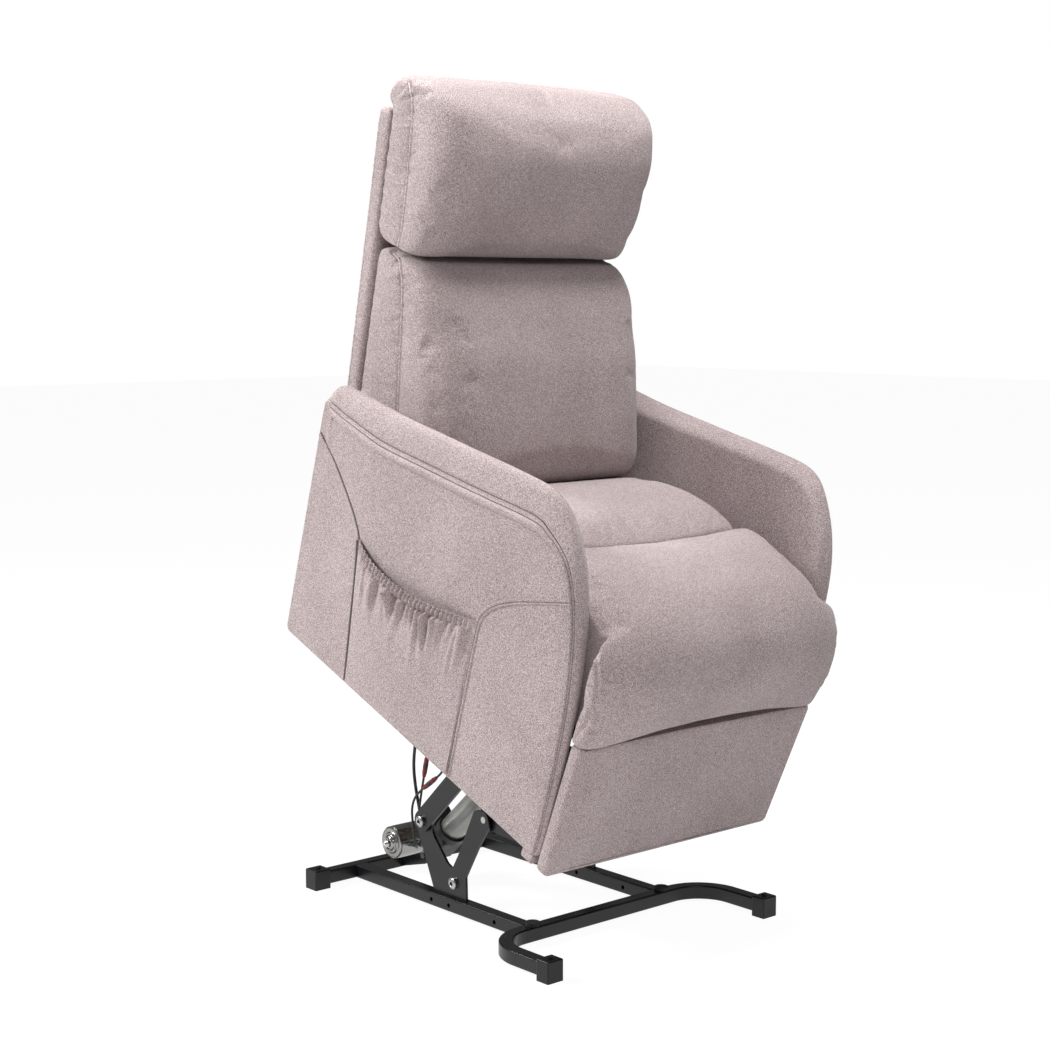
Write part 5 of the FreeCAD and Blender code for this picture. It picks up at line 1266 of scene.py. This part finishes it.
@dataclass
class SidePocket:
    """The gathered pocket on the right arm's outer panel."""

    stand: float = 15.0
    hem: float = 17.0
    gathers: int = 31

    def build(self, palette: Palette) -> None:
        """Make the pocket's gathered front as one sewn sheet with a shirred top band."""
        top = rounded_line([(165, 280), (200, 266), (240, 260), (310, 259), (390, 272), (484, 298)])
        top = spaced(top, 360, False)
        draw = random.Random(5)
        folds = [(draw.uniform(0.04, 0.96), draw.uniform(0.010, 0.024), draw.uniform(0.5, 1.0),
                  draw.uniform(0.2, 0.62), draw.uniform(-0.2, 0.06)) for _ in range(34)]

        def place(across: np.ndarray, down: np.ndarray) -> np.ndarray:
            """Place a vertex from its shares across and down the pocket."""
            upper = top[nearest(across, len(top) - 1)]
            lower = np.stack([195 + across * 294, 3 - across * 5], axis=1)
            flat = upper + (lower - upper) * down[:, None]
            depth = np.linalg.norm(lower - upper, axis=1) * down
            spread = np.sin(math.pi * np.clip(across, 0, 1)) ** 0.6
            swell = self.stand * spread * (1 - eased(down / 0.92)) ** 0.8
            swell += 6.0 * np.sin(math.pi * down) * spread
            in_hem = 1 - eased((depth - self.hem) / 5)
            pitch = across * self.gathers * 2 * math.pi
            shirr = 5.6 * np.cos(pitch + 0.7 * np.sin(across * 23) + 0.5 * np.sin(across * 61)) * in_hem
            shirr *= spread * (0.5 + 0.5 * np.sin(math.pi * np.clip(depth / self.hem, 0, 1)))
            loose = np.zeros(len(across))
            for middle, breadth, strength, run, slant in folds:
                offset = across - middle - slant * down
                fade = (1 - eased(down / run)) * eased((depth - self.hem + 4) / 8)
                broad = breadth * (1 + 1.6 * down)
                loose += strength * fade * (bell(offset, broad) - 0.6 * bell(offset - 2.1 * breadth, broad))
            stitch = -1.4 * bell(depth - self.hem, 1.8) - 0.9 * bell(depth - 2.5, 1.6)
            cloth = 4.6 + swell + shirr + (11.0 * loose + 3.0 * stitch) * spread
            return in_chair(-(CHAIR.panel(flat[:, 0], flat[:, 1]) + cloth), flat)

        made = Bench.skin("gathered_pocket", 360, 112, place)
        Bench.modify(made, "SOLIDIFY", thickness=1.8 * MM, offset=0.0)
        Bench.outward(made)
        Bench.finish(made, palette.cloth, "chair", "cover_fabric", ["side_pocket"], chair=True, sharp=70.0)


@dataclass
class LegRest:
    """The padded footrest panel."""

    half: float = 268.0
    front: float = 758.0
    thick: float = 27.0
    low: float = -38.0
    high: float = 213.0

    def build(self, palette: Palette) -> None:
        """Make the panel from a rounded block, crowned a little in front."""
        made = Bench.block("footrest_pad", (-self.half, -self.front, self.low),
                           (self.half, -self.front + self.thick, self.high), 10.0, 5, 13.0)
        Bench.refine(made, 16)
        p = Bench.points(made) / MM
        middle, reach = (self.low + self.high) / 2, (self.high - self.low) / 2
        across, upward = dome(p[:, 0], self.half, 3), dome(p[:, 2] - middle, reach, 3)
        ahead = eased((-p[:, 1] - self.front + 14) / 12)
        ripple = 0.7 * np.sin(p[:, 0] / 47 + 1.3 * np.sin(p[:, 2] / 61)) * across
        p[:, 1] -= (5.0 * across * upward + ripple) * ahead
        p[:, 2] += 5.0 * across * eased((p[:, 2] - self.high + 40) / 40)
        p[:, 0] *= 1 + 0.03 * np.clip((p[:, 2] - self.low) / (self.high - self.low), 0, 1)
        pull = 3.0 * np.clip(np.abs(p[:, 2] - middle) / reach, 0, 1) ** 2
        p[:, 0] *= 1 - (3.0 - pull) / self.half * 0.5
        Bench.move(made, p * MM)
        Bench.finish(made, palette.cloth, "footrest", "cover_fabric", ["footrest_panel"], chair=True,
                     sharp=60.0)


@dataclass
class Motor:
    """The lift motor's turned end and its shaft, in the actuator's frame."""

    tail: Triple = (-45.0, 320.0, 45.0)
    rise: float = 42.01
    along: float = 38.0
    off: float = 24.0
    gear: float = 29.0
    length: float = 70.0
    cap: float = 11.0

    def axis_point(self, out: float) -> Triple:
        """Return a point on the motor's axis, a distance out from the gearbox's side."""
        angle = math.radians(-self.rise)
        y, z = -self.along, self.off
        return (self.tail[0] - self.gear - out, self.tail[1] + y * math.cos(angle) - z * math.sin(angle),
                self.tail[2] + y * math.sin(angle) + z * math.cos(angle))

    def build(self, palette: Palette) -> None:
        """Make the stepped end cap and the shaft with its nut."""
        profile = [(-0.4, 0.02), (-0.4, 29.0), (0.6, 29.6), (2.4, 29.6), (3.4, 28.8), (4.0, 27.0),
                   (3.4, 24.6), (3.2, 21.0), (4.2, 19.8), (5.6, 19.2), (6.2, 18.0), (5.8, 15.6),
                   (6.6, 14.4), (9.4, 13.2), (10.6, 11.6), (11.0, 8.6), (10.2, 7.8), (10.2, 0.02)]
        cap = Bench.turned_piece("motor_end_dress", profile, self.axis_point(self.length), (-1, 0, 0))
        Bench.finish(cap, palette.can, "actuator", "motor_metal", ["motor_end_cap"], sharp=32.0)
        stub = [(0.0, 0.02), (0.0, 6.8), (0.8, 7.2), (3.8, 7.2), (4.6, 6.6), (4.6, 4.2), (8.2, 4.0), (9.0, 3.2),
                (9.0, 0.02)]
        end = self.axis_point(self.length + self.cap)
        shaft = Bench.turned_piece("motor_shaft_dress", stub, end, (-1, 0, 0), 32)
        Bench.finish(shaft, palette.rod, "actuator", "motor_metal", ["motor_shaft"], sharp=32.0)


@dataclass
class Bolts:
    """Domed socket heads on the lift linkage's bolts."""

    radius: float = 9.6
    height: float = 2.4
    socket: float = 3.6

    def head(self, name: str, place: Sequence[float], side: int, palette: Palette) -> None:
        """Make one head with its six-sided socket."""
        r, h, s = self.radius, self.height, self.socket
        shell = [(-0.3, 0.02), (-0.3, r), (0.5, r + 0.2), (1.3, r - 0.7), (h - 0.3, 0.74 * r), (h, 0.56 * r),
                 (h, s + 0.9), (h - 0.4, s + 0.5), (0.3, s + 0.4), (0.3, 0.02)]
        made = Bench.turned_piece(name + "_head", shell, place, (side, 0, 0), 40)
        Bench.finish(made, palette.bolt, "base", "bolt_steel", sharp=30.0)
        cup = [(0.1, 0.02), (0.1, s + 0.8), (h - 0.8, s + 0.8), (h - 0.8, s), (0.5, s), (0.5, 0.02)]
        made = Bench.turned_piece(name + "_socket", cup, place, (side, 0, 0), 6)
        Bench.finish(made, palette.gear, "base", "bolt_steel", sharp=20.0)

    def build(self, palette: Palette) -> None:
        """Put a head on the outer face of each bolt."""
        for name in ("rear_pivot_bolts", "riser_bolts"):
            node = frame["nodes"][name]
            points = np.array([(node.matrix_world @ vertex.co)[:] for vertex in node.data.vertices]) / MM
            for side in (-1, 1):
                near = points[points[:, 0] * side > 0]
                face = near[near[:, 0] * side > (near[:, 0] * side).max() - 0.05]
                self.head(f"{name}_{letter(side)}", (face.min(axis=0) + face.max(axis=0)) / 2, side, palette)


@dataclass
class Leads:
    """The motor's lead and the thin wires with their connectors, under the seat."""

    lead_width: float = 6.0
    wire_width: float = 4.4
    gland: tuple[float, float] = (268.82, 88.27)
    keep: float = 0.31
    floor: float = 88.0
    plug_length: float = 44.0

    def run(self, name: str, route: Sequence[Triple], width: float, node: str, end: str,
            palette: Palette, pieces: Sequence[Object] = ()) -> Object:
        """Lay one lead along its route.

        Args:
            name: The lead's name.
            route: Its control points in the row frame, in millimetres.
            width: Its diameter, in millimetres.
            node: The frame's node that it stands for.
            end: What its far end is; not used.
            palette: The finishes.
            pieces: The pieces on it; not used.
        Returns:
            The lead.
        """
        Bench.clear()
        curve = bpy.data.curves.new(name, "CURVE")
        curve.dimensions = "3D"
        spline = curve.splines.new("NURBS")
        spline.points.add(len(route) - 1)
        for point, place in zip(spline.points, route):
            point.co = (*[value * MM for value in place], 1.0)
        spline.order_u = 3
        spline.use_endpoint_u = True
        spline.resolution_u = 10
        drawn = bpy.data.objects.new(name, curve)
        bpy.context.scene.collection.objects.link(drawn)
        bare = bpy.data.meshes.new_from_object(drawn)
        curve.bevel_depth = width * MM / 2
        curve.bevel_resolution = 5
        curve.use_fill_caps = True
        Bench.take(drawn)
        bpy.ops.object.convert(target="MESH")
        made = bpy.context.active_object
        made.name = name
        Bench.finish(made, palette.rubber, "base", "lead_rubber", [node], sharp=60.0)
        self.squash(made)
        return made

    def squash(self, piece: Object) -> None:
        """Give a piece its own copy of its mesh."""
        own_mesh(piece)

    def plug(self, name: str, start: Sequence[float], way: Vector, palette: Palette) -> list[Object]:
        """Make a connector pair: a red half, a black collar and a red half, each stepped."""
        low = [(0.0, 0.02), (0.0, 2.9), (2.0, 3.6), (7.0, 3.9), (7.6, 4.5), (16.0, 4.5), (16.6, 3.9),
               (17.5, 3.9), (17.5, 0.02)]
        collar = [(16.9, 0.02), (16.9, 4.2), (17.8, 4.7), (26.0, 4.7), (26.9, 4.2), (26.9, 0.02)]
        high = [(26.4, 0.02), (26.4, 3.9), (27.4, 4.5), (36.4, 4.5), (37.0, 3.9), (42.0, 3.6), (44.0, 2.9),
                (44.0, 0.02)]
        halves = (("_low", palette.red, low), ("_collar", palette.box, collar), ("_high", palette.red, high))
        made = []
        for suffix, finish, profile in halves:
            piece = Bench.turned_piece(name + suffix, profile, start, way[:], 20)
            Bench.finish(piece, finish, "base", "plug_red", ["connectors"], sharp=30.0)
            self.squash(piece)
            made.append(piece)
        return made

    def build(self, palette: Palette) -> None:
        """Lay the lead and both wires, each with its connector."""
        to_row = CHAIR.matrix()

        def box_entry(x: float, forward: float) -> list[Triple]:
            """Return the last two points of a lead into the control box."""
            return [tuple((to_row @ (Vector((x, -forward, level)) * MM)) / MM) for level in (155.0, 180.0)]

        def exit_at(x: float) -> list[Triple]:
            """Return the first two points of a lead out of the motor."""
            return [(x, self.gland[0], self.gland[1]), (x, self.gland[0] - 15, self.gland[1])]

        lead = [*exit_at(-108), (-116, 238, 96), (-127, 231, 116), (-136, 229, 142), (-138, 234, 172),
                (-138, 244, 206), (-138, 250, 246), (-139, 243, 288), (-143, 230, 332), (-150, 218, 378),
                (-160, 206, 426), (-178, 195, 473), (-198, 183, 520), *box_entry(-210, 210)]
        self.run("motor_lead_sheath", lead, self.lead_width, "motor_lead", "object", palette)
        lows = {"a": [*exit_at(-118), (-127, 239, 91), (-137, 229, 107), (-145, 224, 132), (-147, 223, 158),
                      (-147, 219, 184), (-147, 213, 210), (-147, 207, 234)],
                "b": [*exit_at(-128), (-137, 243, 90), (-147, 234, 102), (-154, 229, 122), (-155, 232, 148),
                      (-154, 235, 171), (-153, 228, 191), (-153, 214, 205), (-152, 202, 214)]}
        highs = {
            "a": ([(-150, 186, 340), (-154, 185, 382), (-159, 184, 425), (-166, 183, 467), (-178, 184, 510),
                   (-190, 190, 546)], (-196, 185)),
            "b": ([(-153, 136, 282), (-154, 133, 318), (-155, 136, 358), (-157, 141, 400), (-161, 145, 444),
                   (-176, 147, 486), (-198, 148, 522)], (-214, 235))}
        for mark, low in lows.items():
            way = (Vector(low[-1]) - Vector(low[-2])).normalized()
            plugs = self.plug("connector_" + mark, low[-1], way, palette)
            node = "connector_wire_" + mark
            self.run(f"wire_{mark}_low", low, self.wire_width, node, "connector", palette, plugs)
            top = Vector(low[-1]) + way * self.plug_length
            middle, entry = highs[mark]
            high = [tuple(top), tuple(top + way * 24), *middle, *box_entry(*entry)]
            self.run(f"wire_{mark}_high", high, self.wire_width, node, "object", palette)


@dataclass
class SteelWork:
    """The frame's own nodes, which keep their shapes and take their finishes."""

    def build(self, palette: Palette) -> None:
        """Give every carried-over node the finish of its slot."""
        slots = {part["node"]: part["material_slot"] for part in frame["record"]["subparts"]}
        for name, obj in frame["nodes"].items():
            finish = palette.of(slots[name])
            if not obj.data.materials:
                obj.data.materials.append(finish)
            for index in range(len(obj.data.materials)):
                obj.data.materials[index] = finish


@dataclass
class Studio:
    """The floor, the lamps, the world and the camera."""

    target: Triple = (0.02384, 0.12209, 0.69431)
    azimuth: float = -41.08
    elevation: float = 6.661
    distance: float = 3.6284
    lens: float = 67.58
    shift: tuple[float, float] = (0.00095, 0.00076)
    ambient: float = 0.15

    def camera(self) -> None:
        """Stand the camera where the photograph was taken from."""
        a, e = math.radians(self.azimuth), math.radians(self.elevation)
        way = Vector((math.sin(a) * math.cos(e), -math.cos(a) * math.cos(e), math.sin(e)))
        data = bpy.data.cameras.new("photo_camera")
        data.lens, data.sensor_width = self.lens, 36.0
        data.shift_x, data.shift_y = self.shift
        camera = bpy.data.objects.new("photo_camera", data)
        camera.location = Vector(self.target) + way * self.distance
        camera.rotation_mode = "QUATERNION"
        camera.rotation_quaternion = (-way).to_track_quat("-Z", "Y")
        bpy.context.scene.collection.objects.link(camera)
        bpy.context.scene.camera = camera

    def lamp(self, name: str, place: Sequence[float], size: float, power: float) -> None:
        """Hang a soft square lamp that faces the chair."""
        data = bpy.data.lights.new(name, "AREA")
        data.shape, data.size, data.energy = "SQUARE", size, power
        lamp = bpy.data.objects.new(name, data)
        lamp.location = place
        lamp.rotation_mode = "QUATERNION"
        lamp.rotation_quaternion = (Vector((0, 0, 0.75)) - Vector(place)).to_track_quat("-Z", "Y")
        bpy.context.scene.collection.objects.link(lamp)

    def floor(self) -> None:
        """Lay the pale floor, white to the camera with a soft shadow."""
        floor = Bench.start("studio_floor", bpy.ops.mesh.primitive_plane_add, size=40.0, location=(0, 0, 0))
        nodes = Nodes("studio_white")
        nodes.set(Base_Color=(0.86, 0.86, 0.86, 1.0), Roughness=0.9)
        glow = nodes.add("Emission", Strength=1.06)
        ray = nodes.add("LightPath")
        seen = nodes.math("MAXIMUM", ray.outputs["Is Camera Ray"], ray.outputs["Is Glossy Ray"])
        share = nodes.math("MULTIPLY", seen, 0.9)
        mix = nodes.tree.nodes.new("ShaderNodeMixShader")
        nodes.join(share, mix.inputs[0])
        nodes.join(nodes.shader.outputs[0], mix.inputs[1])
        nodes.join(glow.outputs[0], mix.inputs[2])
        nodes.join(mix.outputs[0], nodes.out.inputs[0])
        floor.data.materials.append(nodes.material)

    def world(self) -> None:
        """Light the room evenly, white to the camera."""
        world = bpy.data.worlds.new("studio_world")
        bpy.context.scene.world = world
        world.use_nodes = True
        tree = world.node_tree
        tree.nodes.clear()
        out = tree.nodes.new("ShaderNodeOutputWorld")
        ray = tree.nodes.new("ShaderNodeLightPath").outputs
        mix = tree.nodes.new("ShaderNodeMixShader")
        most = tree.nodes.new("ShaderNodeMath")
        most.operation = "MAXIMUM"
        joins = [(ray["Is Camera Ray"], most.inputs[0]), (ray["Is Transmission Ray"], most.inputs[1]),
                 (most.outputs[0], mix.inputs[0]), (mix.outputs[0], out.inputs[0])]
        for strength, into in ((self.ambient, mix.inputs[1]), (1.0, mix.inputs[2])):
            white = tree.nodes.new("ShaderNodeBackground")
            white.inputs["Color"].default_value = (1, 1, 1, 1)
            white.inputs["Strength"].default_value = strength
            joins.append((white.outputs[0], into))
        for start, end in joins:
            tree.links.new(start, end)

    def build(self) -> None:
        """Set up the studio."""
        bpy.context.scene.view_settings.view_transform = "Standard"
        self.camera()
        self.floor()
        self.world()
        self.lamp("key", (-2.7, 2.3, 3.1), 1.2, 205.0)
        self.lamp("front", (-1.6, -3.3, 3.3), 1.5, 58.0)
        self.lamp("top", (0.0, -0.4, 3.7), 1.2, 118.0)


def main() -> None:
    """Build the studio and every piece, in order."""
    logging.basicConfig(level=logging.INFO, format="%(name)s: %(message)s")
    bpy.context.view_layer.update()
    palette = Palette()
    Studio().build()
    Leads().build(palette)
    SteelWork().build(palette)
    Bolts().build(palette)
    Motor().build(palette)
    for side in (1, -1):
        Arm(side).build(palette)
    RearPanel().build(palette)
    SidePocket().build(palette)
    SeatPads().build(palette)
    BackRest().build(palette)
    LegRest().build(palette)
    Bench.clear()


if __name__ == "__main__":
    main()
